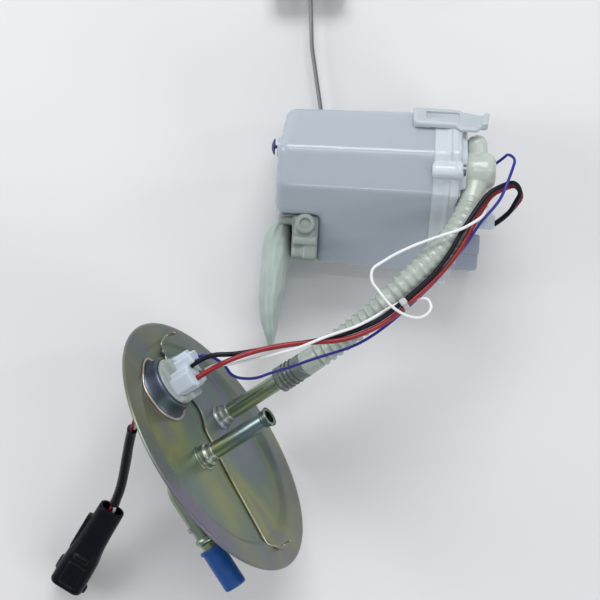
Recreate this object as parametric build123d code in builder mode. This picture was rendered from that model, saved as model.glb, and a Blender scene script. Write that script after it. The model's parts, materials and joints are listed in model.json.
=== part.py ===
from build123d import *
import math
import os

os.makedirs("parts", exist_ok=True)

# ---------------------------------------------------------------------------
# Fuel pump module, lying on its side: the tank flange leans on its rim, the
# plastic fuel reservoir lies on the bench beside it, and a ribbed delivery
# hose and four leads join the two.  Millimetres, +Z up.  The row origin is
# the middle of the base of the box round the rigid pieces.
# ---------------------------------------------------------------------------

SX, SY = -5.629, -20.889                 # shift from the layout frame to the row frame

# flange
FLANGE_R = 65.76                  # outer radius of the steel cover
FLANGE_T = 1.5                    # sheet thickness
RECESS = 2.8                      # depth of the pressed centre
RECESS_R = 51.0
STEP_R = 53.2
TUBE_R, TUBE_BORE = 4.0, 3.2      # 8 mm steel fuel tubes
RET_P, RET_Q = -13.8, -1.75       # return tube, in the flange plane
SUP_P, SUP_Q = 27.2, 8.6          # supply tube
BOSS_P, BOSS_Q = -12.9, 35.0      # raised cup for the connector
RET_RUN_H = -24.5                 # height of the return tube's outer run
SUP_RUN_H = -18.0
CAP_BORE = 4.08

# reservoir
RES_LEN = 81.0
WALL = 2.0
PUMP_V, PUMP_W = 9.0, 5.0         # pump axis in the reservoir section
PUMP_R = 19.0
SHAFT_R = 2.0

# cords
HOSE_R = 12.3 / 2
POWER_R = 2.3 / 2
SIGNAL_R = 1.4 / 2
PIGTAIL_R = 5.6 / 2

HOSE_ROUTE = [
    (2.120, -30.400, 53.677), (6.140, -27.800, 55.507), (12.290, -23.610, 58.227), (19.980, -18.070, 61.668),
    (27.310, -12.360, 64.909), (34.460, -6.300, 67.919), (41.450, 0.150, 70.380), (48.400, 6.980, 72.040),
    (55.520, 13.840, 71.990), (62.670, 20.430, 70.220), (69.350, 27.180, 67.500), (75.100, 34.830, 64.180),
    (78.590, 41.450, 61.350), (79.870, 46.030, 59.440),
]

RED_ROUTE = [
    (-44.370, -33.980, 83.727), (-38.880, -30.430, 86.227), (-28.520, -26.720, 84.418), (-16.960, -23.990, 82.628),
    (-4.640, -22.050, 80.838), (7.420, -20.350, 79.059), (18.550, -18.440, 77.250), (28.890, -14.610, 75.790),
    (39.370, -8.460, 75.310), (50.810, -0.570, 74.760), (59.950, 7.900, 73.970), (67.180, 14.870, 72.980),
    (73.400, 21.760, 71.630), (78.510, 28.810, 69.890), (82.230, 35.650, 67.890), (86.400, 41.400, 65.720),
    (91.120, 46.940, 63.490), (96.890, 50.820, 61.230), (101.650, 51.800, 58.080), (103.800, 49.530, 54.310),
    (102.130, 45.210, 50.280), (97.650, 40.050, 46.200), (91.740, 35.720, 44.500),
]

BLACK_ROUTE = [
    (-47.290, -28.480, 82.327), (-41.790, -24.930, 84.827), (-30.720, -23.790, 83.428), (-18.960, -21.820, 82.098),
    (-6.520, -19.660, 80.898), (5.770, -17.960, 79.849), (16.750, -16.080, 78.840), (27.030, -12.690, 78.270),
    (37.830, -7.220, 77.780), (49.500, 0.650, 77.350), (59.200, 9.080, 76.790), (66.200, 16.680, 75.950),
    (71.560, 24.090, 74.760), (76.470, 30.970, 73.440), (79.740, 37.370, 72.080), (83.630, 43.320, 70.790),
    (88.770, 48.520, 69.280), (95.000, 52.450, 67.100), (100.930, 53.460, 64.000), (104.360, 50.650, 60.060),
    (103.060, 45.500, 55.620), (98.040, 39.840, 51.000), (91.740, 35.720, 47.700),
]

BLUE_ROUTE = [
    (-46.510, -26.070, 77.187), (-43.990, -24.450, 78.327), (-41.220, -24.560, 77.558), (-38.010, -26.060, 76.318),
    (-33.840, -29.080, 74.459), (-28.510, -32.770, 72.239), (-21.960, -34.830, 70.110), (-13.850, -33.860, 68.790),
    (-4.550, -31.060, 68.260), (5.020, -27.750, 68.370), (14.180, -24.490, 68.940), (22.910, -21.040, 69.890),
    (31.600, -16.420, 71.190), (41.060, -9.620, 72.460), (51.350, -0.850, 72.420), (60.440, 7.100, 72.010),
    (67.770, 13.480, 71.400), (74.300, 19.820, 70.800), (79.910, 26.840, 70.220), (83.780, 33.820, 69.630),
    (87.320, 39.260, 69.040), (90.580, 43.600, 69.410), (93.250, 47.750, 70.310), (95.450, 52.150, 70.610),
    (97.280, 56.960, 69.200), (98.630, 61.870, 65.740), (98.890, 66.110, 60.620), (97.550, 69.140, 55.150),
    (94.160, 70.110, 49.740), (89.340, 66.020, 44.450), (84.760, 61.960, 39.300), (80.030, 59.820, 34.200),
    (74.820, 58.340, 31.500),
]

WHITE_ROUTE = [
    (-42.970, -31.880, 77.657), (-39.440, -29.600, 79.257), (-34.190, -28.680, 79.288), (-26.950, -27.280, 78.998),
    (-18.170, -25.370, 78.338), (-8.760, -22.800, 77.579), (0.550, -19.580, 77.410), (8.960, -16.170, 77.520),
    (16.470, -13.920, 77.820), (25.080, -11.020, 78.260), (33.780, -7.100, 78.920), (41.060, -3.820, 79.600),
    (46.740, -0.950, 80.280), (51.380, 0.910, 80.950), (55.320, 1.140, 81.290), (58.130, -0.250, 81.570),
    (59.000, -2.760, 82.100), (57.720, -5.300, 82.900), (54.760, -6.810, 83.800), (50.860, -6.750, 84.550),
    (46.660, -5.190, 84.970), (42.590, -2.510, 84.930), (38.850, 0.970, 84.490), (35.760, 4.960, 83.770),
    (33.920, 9.040, 82.970), (34.330, 12.910, 82.270), (37.580, 16.560, 81.710), (43.400, 20.370, 81.220),
    (50.720, 24.110, 80.580), (58.760, 27.350, 79.650), (66.800, 30.160, 78.410), (74.050, 32.790, 76.990),
    (79.660, 35.550, 75.370), (83.390, 38.570, 73.120), (85.340, 41.600, 69.120), (85.810, 44.380, 65.020),
    (86.980, 45.820, 60.750), (87.460, 46.620, 56.340), (85.570, 48.060, 51.830), (82.700, 50.890, 46.630),
    (80.530, 53.210, 41.230), (78.010, 54.680, 35.800), (74.590, 54.340, 31.500),
]

PIGTAIL_ROUTE = [
    (-68.950, -44.840, 70.817), (-74.340, -50.520, 66.547), (-77.460, -57.150, 61.267), (-79.520, -64.040, 55.788),
    (-81.110, -71.040, 50.299), (-82.590, -78.130, 44.889), (-84.250, -85.300, 39.540), (-86.470, -92.530, 34.690),
    (-89.870, -99.700, 30.500),
]

# ---------------------------------------------------------------------------
# frames
# ---------------------------------------------------------------------------
SHIFT = Vector(SX, SY, 0)


def raw(x, y, z):
    return Vector(x, y, z) + SHIFT


FC = raw(-39.043, -67.196, 61.972)                      # flange centre
FN = Vector(0.785000, 0.506569, 0.356599).normalized()  # towards the tank
FT1 = Vector(0.299628, 0.193353, -0.934258).normalized()
FT2 = FN.cross(FT1)

RO = raw(-11.5, 55.3, 35.5)                             # reservoir left end
PSI = math.radians(3.3)
RU = Vector(math.cos(PSI), -math.sin(PSI), 0)
RV = Vector(math.sin(PSI), math.cos(PSI), 0)
RW = Vector(0, 0, 1)


def fp(p, q, h=0.0):
    return FC + FT1 * p + FT2 * q + FN * h


def rp(a, b, w=0.0):
    return RO + RU * a + RV * b + RW * w


def fl(h, p=0.0, q=0.0):
    """plane parallel to the flange at height h, sketch axes p, q"""
    return Plane(origin=fp(p, q, h), x_dir=FT1, z_dir=FN)


def fl_rad(p=0.0, q=0.0, h=0.0):
    """plane holding the flange normal, for turned profiles (radius, height)"""
    return Plane(origin=fp(p, q, h), x_dir=FT1, z_dir=-FT2)


def rs(a):
    """cross-section plane of the reservoir at length a, sketch axes v, w"""
    return Plane(origin=rp(a, 0, 0), x_dir=RV, z_dir=RU)


def along(p, d, x=None):
    d = d.normalized()
    if x is None:
        x = Vector(0, 0, 1).cross(d)
        if x.length < 1e-6:
            x = Vector(1, 0, 0)
    return Plane(origin=p, x_dir=x.normalized(), z_dir=d)


def rod(plane, r, h, bore=0.0, mode=Mode.ADD, at=(0, 0)):
    with BuildSketch(plane) as sk:
        with Locations(at):
            Circle(r)
            if bore:
                Circle(bore, mode=Mode.SUBTRACT)
    extrude(sk.sketch, amount=h, mode=mode)


def slab(plane, x0, x1, y0, y1, h, r=0.0, mode=Mode.ADD):
    with BuildSketch(plane) as sk:
        with Locations(((x0 + x1) / 2, (y0 + y1) / 2)):
            if r:
                RectangleRounded(abs(x1 - x0), abs(y1 - y0), r)
            else:
                Rectangle(abs(x1 - x0), abs(y1 - y0))
    extrude(sk.sketch, amount=h, mode=mode)


def turned(plane, pts, mode=Mode.ADD):
    """revolve a closed (radius, height) profile about the plane's y axis"""
    with BuildSketch(plane) as sk:
        with BuildLine():
            Polyline(*pts, close=True)
        make_face()
    revolve(sk.sketch, axis=Axis(plane.origin, plane.y_dir), revolution_arc=360, mode=mode)


def corner_radii(pts, cap=None):
    out = []
    for a, b, c in zip(pts[:-2], pts[1:-1], pts[2:]):
        d1, d2 = b - a, c - b
        turn = math.radians(d1.get_angle(d2))
        r = 0.45 * min(d1.length, d2.length) / math.tan(turn / 2)
        out.append(min(r, cap) if cap else r)
    return out


def tube_solid(pts, r, cap=None, name=""):
    """straight runs joined by tangent arcs, each as large as its runs allow"""
    radii = corner_radii(pts, cap)
    with BuildLine() as path:
        FilletPolyline(*pts, radius=radii)
    with BuildSketch(along(pts[0], pts[1] - pts[0])) as sk:
        Circle(r)
    sweep(sections=sk.sketch, path=path.wires()[0])
    if name:
        L = path.wires()[0].length
        print(name, "length %.1f" % L, "section x length %.0f" % (math.pi * r * r * L),
              "radii", [round(x, 1) for x in radii])
    return path


def save(b, name):
    b.part.label = name
    export_step(b.part, "parts/%s.step" % name)


def offset_poly(pts, off):
    n = len(pts)
    lines = []
    for i in range(n):
        (x0, y0), (x1, y1) = pts[i], pts[(i + 1) % n]
        dx, dy = x1 - x0, y1 - y0
        L = math.hypot(dx, dy)
        nx, ny = dy / L, -dx / L
        lines.append((nx, ny, nx * x0 + ny * y0 + off))
    out = []
    for i in range(n):
        a1, b1, c1 = lines[i - 1]
        a2, b2, c2 = lines[i]
        D = a1 * b2 - a2 * b1
        out.append(((c1 * b2 - c2 * b1) / D, (a1 * c2 - a2 * c1) / D))
    return out


def section(a, off=0.0):
    """reservoir outline (v, w) at length a, moved out by off"""
    s = 0.9765 + 0.047 * a / 77.0
    wb = -35.2 + 1.4 * a / 77.0
    pts = [(17, 33), (-1.5, 27), (-36.5, -5), (-36.5, -18), (-22, None), (11, None),
           (13, -19), (36.5, -19), (36.5, 14)]
    pts = [(v * s, wb if w is None else w * s) for v, w in pts]
    return offset_poly(pts, off)


def skin(a0, a1, off, r, mode=Mode.ADD):
    ends = []
    for a in (a0, a1):
        with BuildSketch(rs(a)) as sk:
            with BuildLine():
                Polyline(*section(a, off), close=True)
            make_face()
            fillet(sk.vertices(), radius=r)
        ends.append(sk.sketch)
    loft(sections=ends, ruled=True, mode=mode)


def crown(radius, mode=Mode.INTERSECT):
    """the gently crowned left end"""
    with BuildSketch(Plane(origin=rp(100, -2, -70), x_dir=RU, z_dir=RW)) as sk:
        Circle(radius)
    extrude(sk.sketch, amount=140, mode=mode)


# ---------------------------------------------------------------------------
# flange and its tubes
# ---------------------------------------------------------------------------
with BuildPart() as flange_plate:
    turned(fl_rad(), [(0, -RECESS), (RECESS_R, -RECESS), (STEP_R, 0), (FLANGE_R, 0),
                      (FLANGE_R, -FLANGE_T), (STEP_R + 0.7, -FLANGE_T),
                      (RECESS_R + 0.7, -RECESS - FLANGE_T), (0, -RECESS - FLANGE_T)])
    turned(fl_rad(BOSS_P, BOSS_Q), [(0, -3.5), (14.6, -3.5), (14.0, -2.5), (12.4, 3.6), (11.6, 4.5), (0, 4.5)])
    turned(fl_rad(BOSS_P, BOSS_Q), [(0, -4.5), (12.9, -4.5), (12.5, -4.0), (11.0, 2.4), (10.4, 3.0), (0, 3.0)],
           mode=Mode.SUBTRACT)
    rod(fl(2.0, BOSS_P, BOSS_Q), 8.2, 4, mode=Mode.SUBTRACT)
    rod(fl(-6, RET_P, RET_Q), TUBE_R + 0.05, 6, mode=Mode.SUBTRACT)
    rod(fl(-6, SUP_P, SUP_Q), TUBE_R + 0.05, 6, mode=Mode.SUBTRACT)
save(flange_plate, "flange_plate")

with BuildPart() as return_tube:
    tip, knee, end = fp(RET_P, RET_Q, 36.0), fp(RET_P, RET_Q, RET_RUN_H), fp(RET_P, -52.0, RET_RUN_H)
    with BuildLine() as ret_path:
        FilletPolyline(tip, knee, end, radius=10)
    with BuildSketch(along(tip, -FN)):
        Circle(TUBE_R)
        Circle(TUBE_BORE, mode=Mode.SUBTRACT)
    sweep(path=ret_path.wires()[0])
    turned(fl_rad(RET_P, RET_Q), [(3.6, -2.75), (6.6, -2.75), (6.6, -2.0), (5.2, -1.6), (4.6, -1.3),
                                  (5.4, -0.6), (5.4, 0.9), (4.6, 1.7), (3.6, 1.7)])
    turned(fl_rad(RET_P, RET_Q), [(3.6, 34.4), (4.1, 34.5), (4.5, 35.0), (4.5, 35.6), (4.1, 36.0), (3.6, 36.0)])
    rod(along(fp(RET_P, -26.0, RET_RUN_H), -FT2), 5.0, 2.4, bore=3.6)
save(return_tube, "return_tube")

with BuildPart() as supply_tube:
    tip, knee, end = fp(SUP_P, SUP_Q, 45.0), fp(SUP_P, SUP_Q, SUP_RUN_H), fp(SUP_P, -45.0, SUP_RUN_H)
    with BuildLine() as sup_path:
        FilletPolyline(tip, knee, end, radius=10)
    with BuildSketch(along(tip, -FN)):
        Circle(TUBE_R)
        Circle(TUBE_BORE, mode=Mode.SUBTRACT)
    sweep(path=sup_path.wires()[0])
    turned(fl_rad(SUP_P, SUP_Q), [(3.6, -2.75), (6.2, -2.75), (6.2, -2.0), (4.9, -1.4), (4.9, 0.8), (4.0, 1.6), (3.6, 1.6)])
    for h in (35.0, 38.4, 41.8):
        turned(fl_rad(SUP_P, SUP_Q), [(3.6, h), (4.75, h), (3.9, h + 2.6), (3.6, h + 2.6)])
    rod(along(fp(SUP_P, -29.0, SUP_RUN_H), -FT2), 5.0, 2.4, bore=3.6)
save(supply_tube, "supply_tube")

with BuildPart() as locating_wire:
    pts = [fp(*t) for t in [(12.5, 56.3, 7.5), (13.4, 55.8, 0.85), (10.9, 51.3, 0.85), (10.5, 48.4, -2.1),
                            (12.3, 22.3, -2.1), (7.5, 11.3, -2.1), (1.9, 6.8, -2.1), (2.1, 3.0, -2.1),
                            (-1.6, -6.4, -2.1), (-3.3, -17.8, -2.1), (-8.2, -48.6, -2.1),
                            (-8.5, -51.6, 0.85), (-5.8, -55.2, 0.85), (-3.5, -56.3, 7.5)]]
    tube_solid(pts, 0.62, cap=4.0, name="locating_wire")
save(locating_wire, "locating_wire")

with BuildPart() as return_port_cap:
    rod(along(fp(RET_P, -39.0, RET_RUN_H), -FT2), 5.45, 21.6)
    fillet(return_port_cap.edges().group_by(SortBy.LENGTH)[-1], 1.2)
    rod(along(fp(RET_P, -39.0, RET_RUN_H), -FT2), 6.1, 1.6)
    rod(along(fp(RET_P, -38.0, RET_RUN_H), -FT2), CAP_BORE, 14.6, mode=Mode.SUBTRACT)
save(return_port_cap, "return_port_cap")

# ---------------------------------------------------------------------------
# electrical connector through the flange
# ---------------------------------------------------------------------------
PINS = [(-15.5, 30.8), (-14.0, 37.0), (-8.5, 38.6), (-9.0, 31.8)]
with BuildPart() as bulkhead_connector:
    rod(fl(-3.0, BOSS_P, BOSS_Q), 9.9, 6.0)
    rod(fl(2.9, BOSS_P, BOSS_Q), 8.1, 1.6)
    rod(fl(4.5, BOSS_P, BOSS_Q), 9.6, 1.2)
    slab(fl(5.7), -18.5, -6.5, 23.5, 46.5, 3.3, r=1.0)
    slab(fl(9.0), -18.0, -7.0, 23.5, 27.2, 4.0, r=0.8)
    with BuildSketch(fl(-3.2)):
        with Locations(*PINS):
            Rectangle(1.2, 1.2)
    extrude(amount=14, mode=Mode.SUBTRACT)
save(bulkhead_connector, "bulkhead_connector")

with BuildPart() as bulkhead_terminals:
    with BuildSketch(fl(-2.9)):
        with Locations(*PINS):
            Rectangle(1.0, 1.0)
    extrude(amount=16.5)
save(bulkhead_terminals, "bulkhead_terminals")

with BuildPart() as harness_plug:
    slab(fl(9.15), -19.0, -7.0, 27.8, 41.7, 11.25, r=0.8)
    slab(fl(5.9), -21.0, -18.7, 28.5, 41.0, 14.5, r=0.6)
    slab(fl(16.0), -17.5, -8.5, 41.0, 44.5, 4.4, r=0.6)
    slab(fl(11.0), -7.2, -5.4, 31.0, 38.0, 8.0, r=0.6)
    with BuildSketch(fl(9.0)):
        with Locations(*PINS):
            Rectangle(1.2, 1.2)
    extrude(amount=6.0, mode=Mode.SUBTRACT)
    with BuildSketch(fl(15.0)):
        with Locations(*PINS):
            Circle(1.05)
    extrude(amount=5.2, mode=Mode.SUBTRACT)
save(harness_plug, "harness_plug")

with BuildPart() as plug_terminals:
    with BuildSketch(fl(15.05)):
        with Locations(*PINS):
            Circle(1.0)
            Circle(0.5, mode=Mode.SUBTRACT)
    extrude(amount=4.9)
save(plug_terminals, "plug_terminals")

with BuildPart() as pigtail_grommet:
    turned(fl_rad(BOSS_P, BOSS_Q), [(0, -3.05), (8.2, -3.05), (8.2, -4.6), (6.6, -5.2), (4.2, -9.0), (0, -9.0)])
save(pigtail_grommet, "pigtail_grommet")

# ---------------------------------------------------------------------------
# vehicle-side connector on the pigtail
# ---------------------------------------------------------------------------
VR = raw(-89.869, -99.695, 30.5)
VA = Vector(-0.48066, -0.77901, -0.40262).normalized()
VX = Vector(0, 0, 1).cross(VA).normalized()
VSLOTS = [(-5.0, 2.4), (0, 2.4), (5.0, 2.4), (-2.5, -2.4), (2.5, -2.4)]


def vc(s):
    return Plane(origin=VR + VA * s, x_dir=VX, z_dir=VA)


with BuildPart() as vehicle_connector:
    slab(vc(0), -5.6, 5.6, -4.3, 4.3, 6.2, r=3.6)
    slab(vc(6), -6.3, 6.3, -4.9, 4.9, 21.2, r=2.6)
    slab(vc(27), -8.4, 8.4, -6.0, 6.0, 23.0, r=3.0)
    slab(vc(9), -8.6, -6.0, -2.2, 2.2, 17.0, r=0.6)
    slab(vc(42), 8.0, 10.2, -2.0, 2.0, 4.0, r=0.5)
    slab(vc(30), -3.6, 3.6, 5.6, 8.4, 2.4, r=0.4)
    with BuildSketch(vc(38)):
        with Locations(*VSLOTS):
            Rectangle(2.4, 3.0)
    extrude(amount=13, mode=Mode.SUBTRACT)
save(vehicle_connector, "vehicle_connector")

with BuildPart() as vehicle_connector_lock:
    slab(vc(34), -4.4, 4.4, 6.05, 7.6, 13.0, r=0.6)
save(vehicle_connector_lock, "vehicle_connector_lock")

with BuildPart() as vehicle_connector_terminals:
    with BuildSketch(vc(38.05)):
        with Locations(*VSLOTS):
            Rectangle(1.9, 2.4)
            Rectangle(0.9, 1.3, mode=Mode.SUBTRACT)
    extrude(amount=10.5)
save(vehicle_connector_terminals, "vehicle_connector_terminals")

# ---------------------------------------------------------------------------
# reservoir shell and lid
# ---------------------------------------------------------------------------
with BuildPart() as inner_void:
    skin(-1, RES_LEN + 1, -WALL, 2.4)
    crown(100 - WALL)
    slab(Plane(origin=rp(-5, 0, -60), x_dir=RU, z_dir=RW), -1, 26 + WALL, -60, -14 + WALL, 120, mode=Mode.SUBTRACT)

with BuildPart() as reservoir_shell:
    skin(-1, RES_LEN, 0, 3.6)
    crown(100)
    end_face = min(reservoir_shell.faces(), key=lambda f: (f.center() - RO).dot(RU))
    fillet(end_face.edges(), 3.4)
    slab(Plane(origin=rp(-5, 0, -60), x_dir=RU, z_dir=RW), -1, 26, -60, -14, 120, mode=Mode.SUBTRACT)
    add(inner_void.part, mode=Mode.SUBTRACT)
    # fill-valve hole in the crowned end, inlet duct hole in the notch wall
    rod(rs(-3), 1.6, 9, mode=Mode.SUBTRACT, at=(17.4, 6.0))
    with BuildSketch(Plane(origin=rp(15, -17, 3), x_dir=RU, z_dir=RV)):
        Circle(4.1)
    extrude(amount=6, mode=Mode.SUBTRACT)
save(reservoir_shell, "reservoir_shell")

LID0, LID1 = 79.5, 86.0
E0L = rp(94.9, 10.5, 18.0)          # centre of the outlet elbow
EAL = (raw(79.874, 46.026, 59.442) - E0L).normalized()
with BuildPart() as reservoir_lid:
    skin(LID0, LID1, 1.5, 4.2)
    skin(LID0 - 0.1, RES_LEN + 0.1, 0.06, 3.6, mode=Mode.SUBTRACT)
    skin(LID0 - 0.1, 84.0, -2.3, 2.2, mode=Mode.SUBTRACT)
    rod(rs(66.5), 21.3, 17.6, bore=PUMP_R + 0.3, at=(PUMP_V, PUMP_W))
    with BuildSketch(rs(LID1 - 0.1)):
        with BuildLine():
            Polyline((1, 4), (32, 4), (32, 16), (16, 31.5), (1, 28.5), close=True)
        make_face()
    extrude(amount=3.0)
    # screw lug over the shell's top edge
    slab(rs(72.0), 5.0, 20.0, 34.4, 36.6, 14.0)
    rod(rs(84.0), 3.4, 2.2, at=(9.9, 33.4))
    # foot tab and terminal tower
    slab(rs(79.6), -43.0, -37.5, -17.0, -12.0, 4.4)
    slab(rs(LID1 - 0.5), -15.2, -9.0, 6.4, 14.6, 10.9)
    # outlet, lead and terminal openings
    rod(rs(83), 3.1, 8, mode=Mode.SUBTRACT, at=(10.0, 16.8))
    rod(along(E0L, EAL), 6.35, 18.0, mode=Mode.SUBTRACT)
    rod(along(E0L, rp(93.0, 27.4, 18.0) - E0L), 5.25, 20.0, mode=Mode.SUBTRACT)
    # relief where the hose passes the lid's edge
    for i in (-2, -3, -4, -5):
        h0, h1 = raw(*HOSE_ROUTE[i]), raw(*HOSE_ROUTE[i + 1])
        rod(along(h0, h1 - h0), HOSE_R + 0.7, (h1 - h0).length + 0.6, mode=Mode.SUBTRACT)
    rod(rs(83), 4.2, 3.5, mode=Mode.SUBTRACT, at=(6.0, -4.0))
    rod(rs(78.0), 1.45, 10, mode=Mode.SUBTRACT, at=(9.9, 33.6))
    with BuildSketch(rs(83)):
        with Locations((-13.6, 9.0), (-13.6, 12.2)):
            Circle(0.75)
    extrude(amount=16, mode=Mode.SUBTRACT)
save(reservoir_lid, "reservoir_lid")

with BuildPart() as lid_screw:
    rod(rs(86.25), 2.7, 1.8, at=(9.9, 33.6))
    rod(rs(79.0), 1.35, 7.4, at=(9.9, 33.6))
    slab(rs(87.3), 9.5, 10.3, 31.4, 35.8, 1.2, mode=Mode.SUBTRACT)
save(lid_screw, "lid_screw")

# slope frame for the locking tab: x along the reservoir, y down the slope
TN = (RV + RW).normalized()
TAB = Plane(origin=rp(62.6, 26.6, 24.9), x_dir=RU, z_dir=TN)
with BuildPart() as locking_tab:
    slab(TAB.offset(1.9), 0, 35.0, 0.4, 16.2, 2.6, r=1.2)
    slab(TAB.offset(0.15), 0.5, 9.0, 1.0, 15.5, 2.0)
    slab(TAB.offset(4.2), 33.2, 35.0, 1.0, 15.6, 1.6)
    slab(TAB.offset(3.3), 6.0, 23.0, 4.0, 8.5, 3.0, r=1.0, mode=Mode.SUBTRACT)
    slab(TAB.offset(4.2), 4.0, 31.0, 11.6, 13.0, 0.9)
save(locking_tab, "locking_tab")

# ---------------------------------------------------------------------------
# outlet elbow with its check valve
# ---------------------------------------------------------------------------
E0 = rp(94.9, 10.5, 18.0)
HE = raw(79.874, 46.026, 59.442)
EA = (HE - E0).normalized()
BARREL = (HE - E0).length
with BuildPart() as outlet_elbow:
    with BuildSketch(rs(88.95)):
        with Locations((10.5, 18.0)):
            Circle(9.4)
    extrude(amount=14.1)
    tip_face = max(outlet_elbow.faces(), key=lambda f: (f.center() - RO).dot(RU))
    fillet(tip_face.edges(), 5.5)
    rod(along(E0, EA), 6.0, BARREL)
    DOME = (rp(93.0, 27.4, 18.0) - E0)
    rod(along(E0, DOME), 5.0, DOME.length)
    dome_face = max(outlet_elbow.faces(), key=lambda f: (f.center() - E0).dot(DOME.normalized()))
    fillet(dome_face.edges(), 3.6)
    rod(rs(88.0), 3.95, 6.9, mode=Mode.SUBTRACT, at=(10.0, 16.8))
    rod(along(E0 - EA * 1.0, EA), 2.6, 7.0, mode=Mode.SUBTRACT)
    rod(along(E0 + EA * 5.2, EA), 4.4, 8.6, mode=Mode.SUBTRACT)
    rod(along(E0 + EA * 5, EA), 3.2, BARREL, mode=Mode.SUBTRACT)
save(outlet_elbow, "outlet_elbow")

with BuildPart() as elbow_seal:
    rod(rs(89.0), 3.9, 1.0, bore=2.85, at=(10.0, 16.8))
save(elbow_seal, "elbow_seal")

with BuildPart() as check_valve_poppet:
    rod(along(E0 + EA * 5.25, EA), 3.7, 1.4)
    rod(along(E0 + EA * 6.5, EA), 1.1, 4.2)
save(check_valve_poppet, "check_valve_poppet")

SPRING_R, SPRING_WIRE = 2.3, 0.27
with BuildPart() as check_valve_spring:
    with BuildLine() as coil:
        Helix(pitch=1.5, height=6.3, radius=SPRING_R, center=E0 + EA * 7.1, direction=EA)
    with BuildSketch(Plane(origin=coil.edges()[0] @ 0, z_dir=coil.edges()[0] % 0)):
        Circle(SPRING_WIRE)
    sweep(path=coil.wires()[0], is_frenet=True)
save(check_valve_spring, "check_valve_spring")

# ---------------------------------------------------------------------------
# side chamber, pump lead connector, lead grommet
# ---------------------------------------------------------------------------
with BuildPart() as side_chamber:
    slab(rs(86.1), -36.0, -18.7, -28.0, 4.5, 11.9, r=2.4)
    slab(rs(82.7), -36.0, -34.0, 1.8, 4.5, 4.0)
    slab(rs(86.0), -34.2, -20.5, -26.2, 2.7, 10.2, r=1.4, mode=Mode.SUBTRACT)
save(side_chamber, "side_chamber")

with BuildPart() as pump_lead_connector:
    slab(rs(96.5), -16.0, -9.0, 6.4, 14.8, 7.7, r=0.8)
    slab(rs(98.0), -9.2, -7.8, 8.6, 12.6, 4.4)
    with BuildSketch(rs(96.4)):
        with Locations((-13.6, 9.0), (-13.6, 12.2)):
            Circle(0.75)
    extrude(amount=5.2, mode=Mode.SUBTRACT)
save(pump_lead_connector, "pump_lead_connector")

with BuildPart() as pump_lead_terminals:
    with BuildSketch(rs(80.6)):
        with Locations((-13.6, 9.0), (-13.6, 12.2)):
            Circle(0.7)
    extrude(amount=20.8)
save(pump_lead_terminals, "pump_lead_terminals")

with BuildPart() as lead_grommet:
    rod(rs(83.2), 4.15, 2.8, at=(6.0, -4.0))
save(lead_grommet, "lead_grommet")

# ---------------------------------------------------------------------------
# fill valve in the crowned end
# ---------------------------------------------------------------------------
with BuildPart() as fill_valve_seat:
    rod(rs(-0.2), 4.6, 2.6, at=(17.4, 6.0))
    crown(100, mode=Mode.SUBTRACT)
    rod(rs(-0.2), 1.55, 8.0, at=(17.4, 6.0))
    rod(rs(-1.0), 0.85, 10.0, mode=Mode.SUBTRACT, at=(17.4, 6.0))
save(fill_valve_seat, "fill_valve_seat")

with BuildPart() as fill_valve:
    turned(Plane(origin=rp(-2.0, 17.4, 6.0), x_dir=RV, z_dir=-RW), [(0, -0.9), (1.6, -0.8), (3.85, 0.2), (3.85, 0.7), (0, 0.9)])
    rod(rs(-1.6), 0.8, 11.4, at=(17.4, 6.0))
    rod(rs(9.6), 1.7, 0.9, at=(17.4, 6.0))
save(fill_valve, "fill_valve")

# ---------------------------------------------------------------------------
# inlet pod and strainer
# ---------------------------------------------------------------------------
with BuildPart() as inlet_housing:
    slab(Plane(origin=rp(0, 0, -22), x_dir=RU, z_dir=RW), 9.0, 20.8, -34.0, -14.3, 36.0, r=3.0)
    fillet(inlet_housing.edges().filter_by(Axis.Z, reverse=True), 1.4)
    rod(Plane(origin=rp(15, -22.0, 13.5), x_dir=RU, z_dir=RW), 5.0, 2.6)
    rod(Plane(origin=rp(15, -22.0, 8.0), x_dir=RU, z_dir=RW), 2.8, 9, mode=Mode.SUBTRACT)
    with BuildSketch(Plane(origin=rp(15, -15.0, 3), x_dir=RU, z_dir=RV)):
        Circle(4.0)
    extrude(amount=8.6)
    with BuildSketch(Plane(origin=rp(15, -30.0, 3), x_dir=RU, z_dir=RV)):
        Circle(2.4)
    extrude(amount=25, mode=Mode.SUBTRACT)
    # neck that carries the strainer
    slab(Plane(origin=rp(0, 0, -20), x_dir=RU, z_dir=RW), -1.0, 9.4, -19.1, -16.4, 30.0, r=1.2)
save(inlet_housing, "inlet_housing")


# strainer sock: (y, x centre, thickness, z centre, height) along its length
SOCK = [(35.4, -9.6, 10.4, 20.0, 27.0), (29.0, -10.7, 12.6, 20.5, 33.0), (22.7, -11.4, 14.2, 21.0, 36.0),
        (12.1, -12.9, 13.2, 21.0, 37.0), (0.2, -14.4, 11.4, 20.5, 36.0), (-7.3, -14.7, 10.0, 19.5, 33.0),
        (-15.0, -14.55, 6.8, 18.5, 28.0), (-22.0, -14.35, 3.2, 17.5, 21.0)]


def sock_plane(y, x, z):
    return Plane(origin=raw(x, y, z), x_dir=(1, 0, 0), z_dir=(0, -1, 0))


with BuildPart() as sock_void:
    for y, x, t, z, h in SOCK[:-1]:
        with BuildSketch(sock_plane(y - 1.2 if y > 30 else y, x, z)):
            RectangleRounded(t - 2.4, h - 2.4, t / 2 - 1.35)
    loft()
with BuildPart() as strainer_sock:
    for y, x, t, z, h in SOCK:
        with BuildSketch(sock_plane(y, x, z)):
            RectangleRounded(t, h, t / 2 - 0.1)
    loft()
    add(sock_void.part, mode=Mode.SUBTRACT)
save(strainer_sock, "strainer_sock")

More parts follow.
